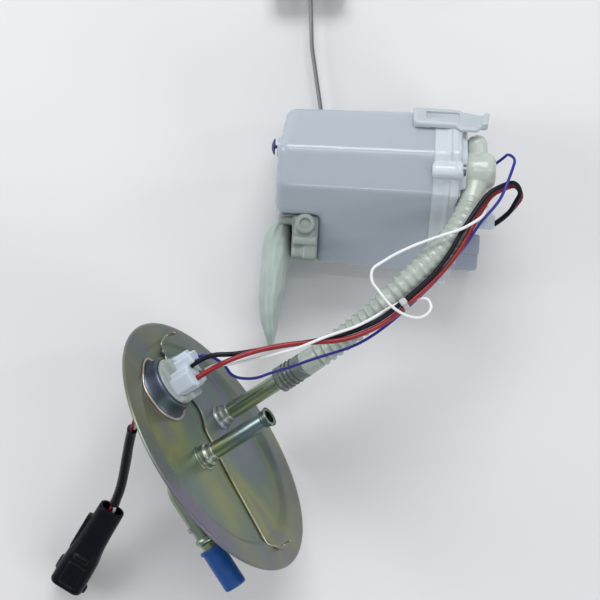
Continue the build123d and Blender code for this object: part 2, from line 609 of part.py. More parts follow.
with BuildPart() as strainer_frame:
    fr = Plane(origin=raw(-11.9, 30.0, 20.5), x_dir=Vector(-0.085, -1, 0).normalized(), z_dir=Vector(-1, 0.085, 0).normalized())
    slab(fr, 0.0, 37.0, -9.0, 9.0, 1.4, r=3.0)
    for i in range(3):
        slab(fr.offset(-1.0), 4.0 + i * 10, 11.0 + i * 10, -7.0, -1.0, 4.0, r=1.0, mode=Mode.SUBTRACT)
        slab(fr.offset(-1.0), 4.0 + i * 10, 11.0 + i * 10, 1.0, 7.0, 4.0, r=1.0, mode=Mode.SUBTRACT)
save(strainer_frame, "strainer_frame")

# ---------------------------------------------------------------------------
# pump
# ---------------------------------------------------------------------------
PC = (PUMP_V, PUMP_W)
with BuildPart() as pump_inlet_cover:
    rod(rs(19.0), PUMP_R, 4.0, at=PC)
    rod(rs(10.8), 3.6, 8.4, at=(-2.0, 3.0))
    rod(rs(12.4), 2.6, 12, mode=Mode.SUBTRACT, at=(-2.0, 3.0))
    with BuildSketch(Plane(origin=rp(15, -8.0, 3), x_dir=RU, z_dir=RV)):
        Circle(2.4)
    extrude(amount=6, mode=Mode.SUBTRACT)
    rod(rs(21.0), SHAFT_R + 0.05, 3, mode=Mode.SUBTRACT, at=PC)
save(pump_inlet_cover, "pump_inlet_cover")

with BuildPart() as pump_ring:
    rod(rs(23.0), 17.1, 3.2, bore=15.6, at=PC)
save(pump_ring, "pump_ring")

with BuildPart() as impeller:
    rod(rs(23.2), 15.45, 2.8, bore=SHAFT_R, at=PC)
    with BuildSketch(rs(23.1)):
        with Locations(PC):
            with PolarLocations(14.2, 30):
                Rectangle(3.4, 1.5)
    extrude(amount=1.0, mode=Mode.SUBTRACT)
    with BuildSketch(rs(25.1)):
        with Locations(PC):
            with PolarLocations(14.2, 30):
                Rectangle(3.4, 1.5)
    extrude(amount=1.0, mode=Mode.SUBTRACT)
save(impeller, "impeller")

with BuildPart() as pump_inner_cover:
    rod(rs(26.2), 17.1, 3.8, bore=3.0, at=PC)
    rod(rs(26.0), 2.4, 5, mode=Mode.SUBTRACT, at=(PUMP_V + 11, PUMP_W + 4))
save(pump_inner_cover, "pump_inner_cover")

with BuildPart() as shaft_bearings:
    rod(rs(26.4), 2.98, 3.4, bore=SHAFT_R + 0.04, at=PC)
    rod(rs(70.0), 2.98, 5.0, bore=SHAFT_R + 0.04, at=PC)
save(shaft_bearings, "shaft_bearings")

with BuildPart() as pump_case:
    rod(rs(23.05), PUMP_R, 48.95, bore=17.2, at=PC)
    rod(rs(72.0), PUMP_R, 1.2, bore=15.2, at=PC)
    fillet(pump_case.edges().filter_by(lambda e: abs((e.center() - RO).dot(RU) - 73.2) < 0.01 and e.length > 110), 0.9)
save(pump_case, "pump_case")

with BuildPart() as pump_magnets:
    rod(rs(34.0), 17.15, 30.0, bore=12.4, at=PC)
    slab(rs(33.9), PUMP_V - 2.2, PUMP_V + 2.2, PUMP_W - 20, PUMP_W + 20, 31, mode=Mode.SUBTRACT)
save(pump_magnets, "pump_magnets")

with BuildPart() as armature:
    rod(rs(36.0), 11.6, 26.0, bore=SHAFT_R, at=PC)
    with BuildSketch(rs(35.9)):
        with Locations(PC):
            with PolarLocations(9.9, 8):
                Rectangle(3.8, 2.0)
    extrude(amount=27, mode=Mode.SUBTRACT)
save(armature, "armature")

with BuildPart() as commutator:
    rod(rs(62.4), 8.0, 3.6, bore=SHAFT_R, at=PC)
    with BuildSketch(rs(64.8)):
        with Locations(PC):
            with PolarLocations(5.8, 8):
                Rectangle(5.0, 0.5)
    extrude(amount=1.3, mode=Mode.SUBTRACT)
save(commutator, "commutator")

with BuildPart() as pump_shaft:
    rod(rs(21.3), SHAFT_R, 53.6, at=PC)
save(pump_shaft, "pump_shaft")

with BuildPart() as pump_outlet_cover:
    rod(rs(68.0), 17.1, 3.9, at=PC)
    rod(rs(71.8), 14.9, 8.2, at=PC)
    rod(rs(79.0), 2.8, 11.0, at=(10.0, 16.8))
    rod(rs(67.0), 1.9, 24.0, mode=Mode.SUBTRACT, at=(10.0, 16.8))
    rod(rs(67.9), 3.0, 8.0, mode=Mode.SUBTRACT, at=PC)
    for s in (-1, 1):
        slab(rs(67.9), PUMP_V + s * 5.8 - 2.05, PUMP_V + s * 5.8 + 2.05, PUMP_W - 2.55, PUMP_W + 2.55, 10.0, mode=Mode.SUBTRACT)
save(pump_outlet_cover, "pump_outlet_cover")

with BuildPart() as brushes:
    for s in (-1, 1):
        slab(rs(66.06), PUMP_V + s * 5.8 - 2.0, PUMP_V + s * 5.8 + 2.0, PUMP_W - 2.5, PUMP_W + 2.5, 6.5)
save(brushes, "brushes")

with BuildPart() as brush_springs:
    for s in (-1, 1):
        rod(rs(72.6), 1.6, 5.2, bore=1.1, at=(PUMP_V + s * 5.8, PUMP_W))
save(brush_springs, "brush_springs")

with BuildPart() as pump_isolator:
    rod(rs(30.0), 21.0, 5.0, bore=PUMP_R + 0.02, at=PC)
save(pump_isolator, "pump_isolator")

# ---------------------------------------------------------------------------
# level sender under the reservoir's step
# ---------------------------------------------------------------------------
PIV_U, PIV_V = 17.3, 22.2
FLOAT_Y0, FLOAT_Y1 = 149.0, 177.0


def down(w):
    return Plane(origin=rp(0, 0, w), x_dir=RU, z_dir=RW)


with BuildPart() as sender_housing:
    slab(down(-24.0), 8.0, 44.0, 14.4, 33.0, 4.2, r=1.6)
    slab(down(-25.0), 8.0, 9.6, 16.0, 31.0, 1.2)
    slab(down(-20.0), 12.0, 16.0, 20.0, 24.0, 0.6)
    rod(down(-30.6), 2.0, 7.0, at=(PIV_U, PIV_V))
save(sender_housing, "sender_housing")

with BuildPart() as resistor_card:
    slab(down(-24.75), 27.0, 42.0, 15.6, 31.6, 0.7)
save(resistor_card, "resistor_card")

with BuildPart() as sender_rotor:
    rod(down(-30.0), 7.6, 5.6, at=(PIV_U, PIV_V))
    slab(down(-25.8), PIV_U + 4, PIV_U + 12.0, PIV_V - 1.3, PIV_V + 1.3, 0.9)
    rod(down(-31.0), 2.05, 7.0, mode=Mode.SUBTRACT, at=(PIV_U, PIV_V))
    with BuildSketch(Plane(origin=rp(PIV_U + 3.6, PIV_V - 9, -28.4), x_dir=RU, z_dir=RV)):
        Circle(1.0)
    extrude(amount=22, mode=Mode.SUBTRACT)
save(sender_rotor, "sender_rotor")

ARM_A = rp(PIV_U + 3.6, PIV_V - 5.5, -28.4)
ARM_B = raw(5.0, 160.0, 7.1)
with BuildPart() as float_arm_wire:
    a0 = rp(PIV_U + 3.6, PIV_V - 5.5, -28.4)
    a1 = rp(PIV_U + 3.6, PIV_V + 9.5, -28.4)
    a2 = raw(6.6 - 0.0266 * 30, 123.7, 7.6)
    a3 = raw(6.6 - 0.0266 * 52, 145.7, 8.0)
    a4 = raw(6.6 - 0.0266 * 79, 172.7, 8.0)
    tube_solid([a0, a1, a2, a3, a4], 0.98, cap=30, name="float_arm_wire")
save(float_arm_wire, "float_arm_wire")

with BuildPart() as sender_float:
    fpl = Plane(origin=raw(6.6 - 0.0266 * 55.3, FLOAT_Y0, 8.0), x_dir=(1, 0, 0), z_dir=Vector(-0.0266, 1, 0).normalized())
    with BuildSketch(fpl):
        RectangleRounded(36, 13.6, 4.0)
    extrude(amount=FLOAT_Y1 - FLOAT_Y0)
    with BuildSketch(fpl.offset(-1)):
        Circle(1.0)
    extrude(amount=FLOAT_Y1 - FLOAT_Y0 - 3, mode=Mode.SUBTRACT)
save(sender_float, "sender_float")

# ---------------------------------------------------------------------------
# hose, cuff, leads
# ---------------------------------------------------------------------------
with BuildPart() as hose_cuff:
    turned(fl_rad(SUP_P, SUP_Q), [(4.05, 30.0), (5.3, 30.0), (5.6, 31.0), (6.15, 47.4), (6.15, 48.0), (3.4, 48.0),
                                  (3.4, 45.4), (4.85, 45.4), (4.85, 33.0), (4.05, 32.6)])
save(hose_cuff, "hose_cuff")

HOSE_ROUTE[0] = tuple(fp(SUP_P, SUP_Q, 48.0) - SHIFT)
HOSE_ROUTE[-1] = tuple(HE - SHIFT)
for nm, route, r in (("delivery_hose", HOSE_ROUTE, HOSE_R), ("wire_red", RED_ROUTE, POWER_R),
                     ("wire_black", BLACK_ROUTE, POWER_R), ("wire_blue", BLUE_ROUTE, SIGNAL_R),
                     ("wire_white", WHITE_ROUTE, SIGNAL_R), ("pigtail_cable", PIGTAIL_ROUTE, PIGTAIL_R)):
    with BuildPart() as cord:
        tube_solid([raw(*t) for t in route], r, name=nm)
    print("   volume %.0f" % cord.part.volume)
    save(cord, nm)
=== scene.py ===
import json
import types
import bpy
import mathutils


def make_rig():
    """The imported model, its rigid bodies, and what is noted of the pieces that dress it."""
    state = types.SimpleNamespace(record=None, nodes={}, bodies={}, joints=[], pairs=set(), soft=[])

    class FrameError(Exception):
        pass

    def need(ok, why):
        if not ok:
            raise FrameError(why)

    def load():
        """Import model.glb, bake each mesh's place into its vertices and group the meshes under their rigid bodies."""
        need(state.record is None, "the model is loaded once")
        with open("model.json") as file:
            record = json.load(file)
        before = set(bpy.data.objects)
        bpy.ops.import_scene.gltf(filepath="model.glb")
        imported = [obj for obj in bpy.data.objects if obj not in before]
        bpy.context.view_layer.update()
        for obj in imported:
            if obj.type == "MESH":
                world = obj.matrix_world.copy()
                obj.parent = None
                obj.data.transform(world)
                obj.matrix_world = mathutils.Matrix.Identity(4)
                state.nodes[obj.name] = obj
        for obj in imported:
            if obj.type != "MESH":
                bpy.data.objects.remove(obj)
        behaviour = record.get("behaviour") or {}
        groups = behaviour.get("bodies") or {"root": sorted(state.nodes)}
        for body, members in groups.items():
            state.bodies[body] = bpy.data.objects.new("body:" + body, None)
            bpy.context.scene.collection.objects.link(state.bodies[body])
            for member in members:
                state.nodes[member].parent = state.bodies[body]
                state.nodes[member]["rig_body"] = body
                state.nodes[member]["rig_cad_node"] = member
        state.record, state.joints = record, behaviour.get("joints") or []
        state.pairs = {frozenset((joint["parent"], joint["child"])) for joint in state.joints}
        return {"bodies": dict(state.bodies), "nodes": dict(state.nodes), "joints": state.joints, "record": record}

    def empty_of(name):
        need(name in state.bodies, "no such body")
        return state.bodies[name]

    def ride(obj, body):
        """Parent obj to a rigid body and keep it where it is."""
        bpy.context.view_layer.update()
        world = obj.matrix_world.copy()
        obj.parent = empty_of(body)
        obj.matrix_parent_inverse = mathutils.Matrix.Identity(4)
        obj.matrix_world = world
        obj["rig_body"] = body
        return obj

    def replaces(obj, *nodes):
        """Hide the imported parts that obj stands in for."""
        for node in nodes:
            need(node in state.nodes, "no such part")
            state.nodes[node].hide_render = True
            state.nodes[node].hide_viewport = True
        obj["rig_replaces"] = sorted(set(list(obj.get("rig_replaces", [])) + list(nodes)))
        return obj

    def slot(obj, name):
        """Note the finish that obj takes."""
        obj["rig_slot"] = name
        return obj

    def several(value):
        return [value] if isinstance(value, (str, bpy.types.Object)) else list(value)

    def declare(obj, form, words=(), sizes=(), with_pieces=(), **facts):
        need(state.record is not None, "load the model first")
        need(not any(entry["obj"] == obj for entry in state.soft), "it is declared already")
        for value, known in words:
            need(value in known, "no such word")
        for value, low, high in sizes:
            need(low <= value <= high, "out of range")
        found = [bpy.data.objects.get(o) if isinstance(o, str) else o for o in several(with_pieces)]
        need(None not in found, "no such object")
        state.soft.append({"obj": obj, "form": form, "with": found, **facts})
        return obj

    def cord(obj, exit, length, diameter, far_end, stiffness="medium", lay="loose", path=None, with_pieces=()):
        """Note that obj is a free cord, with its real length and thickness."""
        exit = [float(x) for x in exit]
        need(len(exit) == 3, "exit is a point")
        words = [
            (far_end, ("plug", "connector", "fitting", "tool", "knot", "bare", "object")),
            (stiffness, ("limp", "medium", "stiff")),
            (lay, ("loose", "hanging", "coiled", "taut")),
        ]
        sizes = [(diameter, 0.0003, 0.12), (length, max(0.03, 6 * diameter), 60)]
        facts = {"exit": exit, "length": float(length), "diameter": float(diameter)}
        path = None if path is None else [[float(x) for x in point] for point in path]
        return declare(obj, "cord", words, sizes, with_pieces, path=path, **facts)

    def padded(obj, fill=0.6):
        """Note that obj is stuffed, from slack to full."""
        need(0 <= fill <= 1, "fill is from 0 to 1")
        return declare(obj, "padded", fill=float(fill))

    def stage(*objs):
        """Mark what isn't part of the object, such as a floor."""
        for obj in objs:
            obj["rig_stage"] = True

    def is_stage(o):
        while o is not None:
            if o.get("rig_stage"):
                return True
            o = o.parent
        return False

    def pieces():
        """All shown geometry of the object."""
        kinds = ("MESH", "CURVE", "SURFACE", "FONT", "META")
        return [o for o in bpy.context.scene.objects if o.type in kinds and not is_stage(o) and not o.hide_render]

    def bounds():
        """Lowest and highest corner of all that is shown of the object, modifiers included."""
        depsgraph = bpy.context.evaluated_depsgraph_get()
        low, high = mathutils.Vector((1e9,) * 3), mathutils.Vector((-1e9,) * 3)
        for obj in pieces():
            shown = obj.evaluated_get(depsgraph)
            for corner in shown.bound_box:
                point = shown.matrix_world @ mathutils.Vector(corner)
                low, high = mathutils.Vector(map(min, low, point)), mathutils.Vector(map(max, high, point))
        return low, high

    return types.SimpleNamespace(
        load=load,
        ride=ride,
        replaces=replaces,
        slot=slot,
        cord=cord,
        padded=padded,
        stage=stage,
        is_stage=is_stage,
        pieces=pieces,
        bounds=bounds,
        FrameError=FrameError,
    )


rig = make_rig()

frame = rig.load()

import json
import math
import random
import bpy
import bmesh
from mathutils import Vector, Matrix, noise

random.seed(7)
_lo, _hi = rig.bounds()
CAD_BOX = [[float(x) for x in _lo], [float(x) for x in _hi]]
NODES = frame["nodes"]
COL = bpy.context.scene.collection
SX, SY = -5.629, -20.889            # layout frame to row frame, mm

# ---------------------------------------------------------------- frames, mm
FN = Vector((0.785000, 0.506569, 0.356599)).normalized()
FT1 = Vector((0.299628, 0.193353, -0.934258)).normalized()
FT2 = FN.cross(FT1)
FC = Vector((-39.043 + SX, -67.196 + SY, 61.972))
PSI = math.radians(3.3)
RU = Vector((math.cos(PSI), -math.sin(PSI), 0))
RV = Vector((math.sin(PSI), math.cos(PSI), 0))
RW = Vector((0, 0, 1))
RO = Vector((-11.5 + SX, 55.3 + SY, 35.5))


def fp(p, q, h=0.0):
    return (FC + FT1 * p + FT2 * q + FN * h) / 1000


def rp(a, b, w=0.0):
    return (RO + RU * a + RV * b + RW * w) / 1000


def raw(x, y, z):
    return Vector((x + SX, y + SY, z)) / 1000


# ---------------------------------------------------------------- camera
cam_data = bpy.data.cameras.new("cam")
cam_data.sensor_width = 36.0
cam_data.lens = 146.4
cam_data.clip_start = 0.05
cam_data.clip_end = 20
cam = bpy.data.objects.new("cam", cam_data)
COL.objects.link(cam)
cam.location = (SX / 1000, SY / 1000, 1.2)
cam.rotation_euler = (0, 0, 0)
bpy.context.scene.camera = cam

# ---------------------------------------------------------------- routes, m
HOSE_ROUTE = [
    (-0.003505, -0.051284, 0.053677), (0.000511, -0.048689, 0.055507), (0.006661, -0.044499, 0.058227), (0.014351, -0.038959, 0.061668),
    (0.021681, -0.033249, 0.064909), (0.028831, -0.027189, 0.067919), (0.035821, -0.020739, 0.070380), (0.042771, -0.013909, 0.072040),
    (0.049891, -0.007049, 0.071990), (0.057041, -0.000459, 0.070220), (0.063721, 0.006291, 0.067500), (0.069471, 0.013941, 0.064180),
    (0.072961, 0.020561, 0.061350), (0.074245, 0.025137, 0.059442),
]

RED_ROUTE = [
    (-0.049999, -0.054869, 0.083727), (-0.044509, -0.051319, 0.086227), (-0.034568, -0.046966, 0.085131), (-0.023048, -0.043357, 0.083901),
    (-0.010225, -0.040972, 0.082408), (0.001485, -0.040251, 0.081308), (0.013262, -0.039543, 0.080291), (0.023291, -0.036407, 0.079177),
    (0.034590, -0.030948, 0.078402), (0.045593, -0.021537, 0.078052), (0.054715, -0.013281, 0.076271), (0.061574, -0.006233, 0.074441),
    (0.067516, 0.001151, 0.072779), (0.071977, 0.008902, 0.071188), (0.075720, 0.015797, 0.068949), (0.078955, 0.021398, 0.066218),
    (0.083497, 0.028180, 0.063408), (0.090511, 0.031499, 0.060433), (0.095638, 0.033101, 0.057207), (0.098968, 0.027980, 0.053713),
    (0.096220, 0.023872, 0.050030), (0.092021, 0.019161, 0.046200), (0.086111, 0.014831, 0.044500),
]

BLACK_ROUTE = [
    (-0.052919, -0.049369, 0.082327), (-0.047419, -0.045819, 0.084827), (-0.036200, -0.045840, 0.083113), (-0.024404, -0.043843, 0.081544),
    (-0.012085, -0.041604, 0.080223), (-0.000030, -0.040022, 0.078939), (0.011436, -0.037662, 0.078648), (0.022031, -0.034158, 0.078714),
    (0.032643, -0.029229, 0.078829), (0.043790, -0.019971, 0.078631), (0.053420, -0.011724, 0.077674), (0.060262, -0.004025, 0.076426),
    (0.065333, 0.003814, 0.075076), (0.069141, 0.010900, 0.073546), (0.073211, 0.016907, 0.071967), (0.077321, 0.022978, 0.070233),
    (0.081931, 0.028890, 0.068196), (0.089071, 0.032614, 0.065693), (0.094719, 0.034262, 0.062616), (0.097915, 0.029350, 0.059048),
    (0.096046, 0.025839, 0.055149), (0.092411, 0.018951, 0.051000), (0.086111, 0.014831, 0.047700),
]

BLUE_ROUTE = [
    (-0.052139, -0.046959, 0.077187), (-0.049652, -0.046068, 0.077705), (-0.047181, -0.046669, 0.076957), (-0.044336, -0.047985, 0.075642),
    (-0.040364, -0.050759, 0.074104), (-0.036825, -0.056716, 0.072527), (-0.026782, -0.057579, 0.071103), (-0.019241, -0.054629, 0.070026),
    (-0.010371, -0.052170, 0.069420), (-0.000286, -0.048454, 0.069307), (0.008418, -0.045836, 0.069611), (0.018031, -0.042827, 0.070186),
    (0.026385, -0.038507, 0.070831), (0.036059, -0.031540, 0.071335), (0.046279, -0.022425, 0.071547), (0.055323, -0.013959, 0.071434),
    (0.061559, -0.007071, 0.071071), (0.067329, -0.000115, 0.070585), (0.072694, 0.006683, 0.070101), (0.077261, 0.014147, 0.069771),
    (0.081298, 0.018646, 0.069607), (0.084952, 0.022740, 0.069467), (0.087701, 0.026688, 0.069096), (0.089722, 0.031214, 0.068133),
    (0.091715, 0.036036, 0.066244), (0.093615, 0.040706, 0.063281), (0.095191, 0.045038, 0.059349), (0.092093, 0.047803, 0.054726),
    (0.090621, 0.046265, 0.049722), (0.085132, 0.042235, 0.044566), (0.079631, 0.039620, 0.039380), (0.074401, 0.038931, 0.034200),
    (0.069191, 0.037451, 0.031500),
]

WHITE_ROUTE = [
    (-0.048599, -0.052769, 0.077657), (-0.045069, -0.050489, 0.079257), (-0.039632, -0.050738, 0.079578), (-0.032545, -0.049185, 0.080117),
    (-0.023635, -0.047345, 0.081011), (-0.013996, -0.044905, 0.082220), (-0.004522, -0.042243, 0.083576), (0.003875, -0.038501, 0.083415),
    (0.010678, -0.036175, 0.082428), (0.020380, -0.033082, 0.081098), (0.028676, -0.028717, 0.079507), (0.035101, -0.024552, 0.077794),
    (0.041289, -0.021746, 0.076434), (0.046437, -0.020412, 0.075461), (0.050153, -0.020153, 0.076277), (0.053399, -0.020256, 0.078111),
    (0.054910, -0.024000, 0.079967), (0.053347, -0.027082, 0.081609), (0.049244, -0.029280, 0.082882), (0.044879, -0.028671, 0.083734),
    (0.040641, -0.026937, 0.084175), (0.036358, -0.023980, 0.084246), (0.032931, -0.020046, 0.084014), (0.029951, -0.016007, 0.083565),
    (0.027105, -0.012521, 0.082989), (0.027038, -0.006638, 0.082358), (0.031500, -0.003806, 0.081698), (0.037577, -0.000060, 0.080987),
    (0.045356, 0.003599, 0.080171), (0.052765, 0.006444, 0.079194), (0.061495, 0.009504, 0.078001), (0.068590, 0.011581, 0.076515),
    (0.075230, 0.015279, 0.074598), (0.078693, 0.017636, 0.072081), (0.080629, 0.020315, 0.068861), (0.081649, 0.021700, 0.064996),
    (0.081496, 0.022873, 0.060675), (0.080865, 0.024392, 0.056062), (0.080057, 0.027136, 0.051236), (0.077156, 0.029939, 0.046222),
    (0.074964, 0.032445, 0.041055), (0.072381, 0.033791, 0.035800), (0.068961, 0.033451, 0.031500),
]

PIGTAIL_ROUTE = [
    (-0.074579, -0.065729, 0.070817), (-0.079969, -0.071409, 0.066547), (-0.083089, -0.078039, 0.061267), (-0.085149, -0.084929, 0.055788),
    (-0.086739, -0.091929, 0.050299), (-0.088219, -0.099019, 0.044889), (-0.089879, -0.106189, 0.039540), (-0.092099, -0.113419, 0.034690),
    (-0.095499, -0.120589, 0.030500),
]



# ---------------------------------------------------------------- materials
def nt_clear(name):
    m = bpy.data.materials.new(name)
    m.use_nodes = True
    nt = m.node_tree
    nt.nodes.clear()
    out = nt.nodes.new("ShaderNodeOutputMaterial")
    b = nt.nodes.new("ShaderNodeBsdfPrincipled")
    nt.links.new(b.outputs[0], out.inputs[0])
    return m, nt, b


def obj_coord(nt, scale=(1, 1, 1), rot=(0, 0, 0)):
    tc = nt.nodes.new("ShaderNodeTexCoord")
    mp = nt.nodes.new("ShaderNodeMapping")
    mp.inputs["Scale"].default_value = scale
    mp.inputs["Rotation"].default_value = rot
    nt.links.new(tc.outputs["Object"], mp.inputs["Vector"])
    return mp.outputs["Vector"]


def noise_tex(nt, vec, scale, detail=3.0, rough=0.5, dist=0.0):
    n = nt.nodes.new("ShaderNodeTexNoise")
    n.inputs["Scale"].default_value = scale
    n.inputs["Detail"].default_value = detail
    n.inputs["Roughness"].default_value = rough
    n.inputs["Distortion"].default_value = dist
    nt.links.new(vec, n.inputs["Vector"])
    return n.outputs["Fac"]


def ramp(nt, fac, stops):
    r = nt.nodes.new("ShaderNodeValToRGB")
    e = r.color_ramp.elements
    while len(e) < len(stops):
        e.new(0.5)
    for k, (p, c) in enumerate(stops):
        e[k].position = p
        e[k].color = (*c, 1) if len(c) == 3 else c
    nt.links.new(fac, r.inputs["Fac"])
    return r.outputs["Color"]


def map_range(nt, fac, a, b, lo=0.3, hi=0.7):
    m = nt.nodes.new("ShaderNodeMapRange")
    m.inputs["From Min"].default_value = lo
    m.inputs["From Max"].default_value = hi
    m.inputs["To Min"].default_value = a
    m.inputs["To Max"].default_value = b
    nt.links.new(fac, m.inputs["Value"])
    return m.outputs["Result"]


def mix_col(nt, fac, a, b, mode="MIX"):
    m = nt.nodes.new("ShaderNodeMix")
    m.data_type = "RGBA"
    m.blend_type = mode
    if isinstance(fac, (int, float)):
        m.inputs[0].default_value = fac
    else:
        nt.links.new(fac, m.inputs[0])
    for sock, v in ((m.inputs[6], a), (m.inputs[7], b)):
        if isinstance(v, (tuple, list)):
            sock.default_value = (*v, 1) if len(v) == 3 else v
        else:
            nt.links.new(v, sock)
    return m.outputs[2]


def bump(nt, b, height, strength, dist):
    bp = nt.nodes.new("ShaderNodeBump")
    bp.inputs["Strength"].default_value = strength
    bp.inputs["Distance"].default_value = dist
    nt.links.new(height, bp.inputs["Height"])
    nt.links.new(bp.outputs["Normal"], b.inputs["Normal"])
    return bp


def srgb(*c):
    return tuple((x / 255 / 12.92) if x / 255 <= 0.04045 else ((x / 255 + 0.055) / 1.055) ** 2.4 for x in c)


def plastic(name, c1, c2, rough=(0.3, 0.42), scale=60, sss=0.0, sss_r=(1, 1, 1), sss_scale=0.004, bump_s=0.08,
            bump_scale=900, bump_d=0.00008, coat=0.0, ior=1.5, transmission=0.0, spec=0.5, sheen=0.0):
    m, nt, b = nt_clear(name)
    v = obj_coord(nt)
    n1 = noise_tex(nt, v, scale, 4, 0.55, 0.3)
    nt.links.new(ramp(nt, n1, [(0.3, c1), (0.7, c2)]), b.inputs["Base Color"])
    n2 = noise_tex(nt, v, scale * 5, 3, 0.6)
    nt.links.new(map_range(nt, n2, *rough), b.inputs["Roughness"])
    n3 = noise_tex(nt, v, bump_scale, 3, 0.6)
    bump(nt, b, n3, bump_s, bump_d)
    b.inputs["IOR"].default_value = ior
    b.inputs["Specular IOR Level"].default_value = spec
    if sss:
        b.inputs["Subsurface Weight"].default_value = sss
        b.inputs["Subsurface Radius"].default_value = sss_r
        b.inputs["Subsurface Scale"].default_value = sss_scale
    if coat:
        b.inputs["Coat Weight"].default_value = coat
        b.inputs["Coat Roughness"].default_value = 0.12
    if transmission:
        b.inputs["Transmission Weight"].default_value = transmission
    if sheen:
        b.inputs["Sheen Weight"].default_value = sheen
        b.inputs["Sheen Roughness"].default_value = 0.5
    return m


def metal(name, c1, c2, rough=(0.25, 0.4), scale=80, aniso=0.0, stretch=(1, 1, 1), bump_s=0.05, bump_scale=1500, metallic=1.0):
    m, nt, b = nt_clear(name)
    v = obj_coord(nt, stretch)
    n1 = noise_tex(nt, v, scale, 4, 0.55, 0.4)
    nt.links.new(ramp(nt, n1, [(0.3, c1), (0.7, c2)]), b.inputs["Base Color"])
    n2 = noise_tex(nt, v, scale * 4, 3, 0.6)
    nt.links.new(map_range(nt, n2, *rough), b.inputs["Roughness"])
    n3 = noise_tex(nt, obj_coord(nt), bump_scale, 2, 0.6)
    bump(nt, b, n3, bump_s, 0.00004)
    b.inputs["Metallic"].default_value = metallic
    return m


def flange_frame_vec(nt):
    """object coordinates turned into the flange's own (p, q, h), in metres"""
    tc = nt.nodes.new("ShaderNodeTexCoord")
    sub = nt.nodes.new("ShaderNodeVectorMath")
    sub.operation = "SUBTRACT"
    sub.inputs[1].default_value = FC / 1000
    nt.links.new(tc.outputs["Object"], sub.inputs[0])
    comb = nt.nodes.new("ShaderNodeCombineXYZ")
    for k, ax in enumerate((FT1, FT2, FN)):
        d = nt.nodes.new("ShaderNodeVectorMath")
        d.operation = "DOT_PRODUCT"
        d.inputs[1].default_value = ax
        nt.links.new(sub.outputs[0], d.inputs[0])
        nt.links.new(d.outputs["Value"], comb.inputs[k])
    return comb.outputs[0]


def zinc_plate():
    """yellow-passivated zinc: olive, mauve and teal clouds drawn out along the sheet, a lighter mauve rim"""
    m, nt, b = nt_clear("zinc_yellow_passivated")
    fv = flange_frame_vec(nt)
    mp = nt.nodes.new("ShaderNodeMapping")
    mp.inputs["Rotation"].default_value = (0, 0, math.radians(12))
    mp.inputs["Scale"].default_value = (15, 8, 12)
    nt.links.new(fv, mp.inputs["Vector"])
    n1 = noise_tex(nt, mp.outputs[0], 1.5, 2.0, 0.45, 0.8)
    base = ramp(nt, n1, [(0.30, srgb(126, 122, 140)), (0.43, srgb(116, 132, 128)), (0.52, srgb(132, 142, 116)),
                         (0.60, srgb(152, 156, 104)), (0.70, srgb(128, 132, 134)), (0.80, srgb(106, 126, 134))])
    sep = nt.nodes.new("ShaderNodeSeparateXYZ")
    nt.links.new(fv, sep.inputs[0])
    comb = nt.nodes.new("ShaderNodeCombineXYZ")
    nt.links.new(sep.outputs[0], comb.inputs[0])
    nt.links.new(sep.outputs[1], comb.inputs[1])
    ln = nt.nodes.new("ShaderNodeVectorMath")
    ln.operation = "LENGTH"
    nt.links.new(comb.outputs[0], ln.inputs[0])
    rim = map_range(nt, ln.outputs["Value"], 0.0, 0.55, 0.0440, 0.0600)
    rimc = ramp(nt, noise_tex(nt, fv, 22, 2, 0.5, 0.5), [(0.35, srgb(122, 118, 132)), (0.65, srgb(130, 130, 122))])
    col = mix_col(nt, rim, base, rimc)
    nt.links.new(col, b.inputs["Base Color"])
    n2 = noise_tex(nt, fv, 60, 3, 0.55)
    nt.links.new(map_range(nt, n2, 0.34, 0.42), b.inputs["Roughness"])
    n3 = noise_tex(nt, obj_coord(nt), 260, 2, 0.5)
    bump(nt, b, n3, 0.025, 0.00005)
    b.inputs["Metallic"].default_value = 0.8
    return m


def tube_metal(name="zinc_tube", rough=(0.27, 0.33), stops=None):
    """zinc tube, smooth: greenish gold passing into a dark blue-grey, in long soft bands"""
    m, nt, b = nt_clear(name)
    v = obj_coord(nt)
    n1 = noise_tex(nt, v, 22, 2, 0.45, 0.4)
    base = ramp(nt, n1, stops or [(0.34, srgb(130, 148, 150)), (0.48, srgb(160, 172, 142)), (0.60, srgb(144, 160, 154)),
                                  (0.74, srgb(116, 128, 140))])
    nt.links.new(base, b.inputs["Base Color"])
    n2 = noise_tex(nt, v, 70, 3, 0.6)
    nt.links.new(map_range(nt, n2, *rough), b.inputs["Roughness"])
    bump(nt, b, n2, 0.012, 0.00005)
    b.inputs["Metallic"].default_value = 1.0
    return m


def felt(name, c1, c2):
    m, nt, b = nt_clear(name)
    v = obj_coord(nt)
    n1 = noise_tex(nt, v, 45, 4, 0.6, 0.4)
    nt.links.new(ramp(nt, n1, [(0.3, c1), (0.7, c2)]), b.inputs["Base Color"])
    w1 = nt.nodes.new("ShaderNodeTexWave")
    w1.inputs["Scale"].default_value = 520
    w1.bands_direction = "Y"
    nt.links.new(v, w1.inputs["Vector"])
    w2 = nt.nodes.new("ShaderNodeTexWave")
    w2.inputs["Scale"].default_value = 520
    w2.bands_direction = "Z"
    nt.links.new(v, w2.inputs["Vector"])
    mx = nt.nodes.new("ShaderNodeMath")
    mx.operation = "MAXIMUM"
    nt.links.new(w1.outputs["Fac"], mx.inputs[0])
    nt.links.new(w2.outputs["Fac"], mx.inputs[1])
    bump(nt, b, mx.outputs[0], 0.25, 0.00012)
    nt.links.new(map_range(nt, n1, 0.62, 0.78), b.inputs["Roughness"])
    b.inputs["Subsurface Weight"].default_value = 0.35
    b.inputs["Subsurface Radius"].default_value = (1.0, 1.0, 0.9)
    b.inputs["Subsurface Scale"].default_value = 0.003
    b.inputs["Sheen Weight"].default_value = 0.25
    b.inputs["Sheen Roughness"].default_value = 0.5
    return m


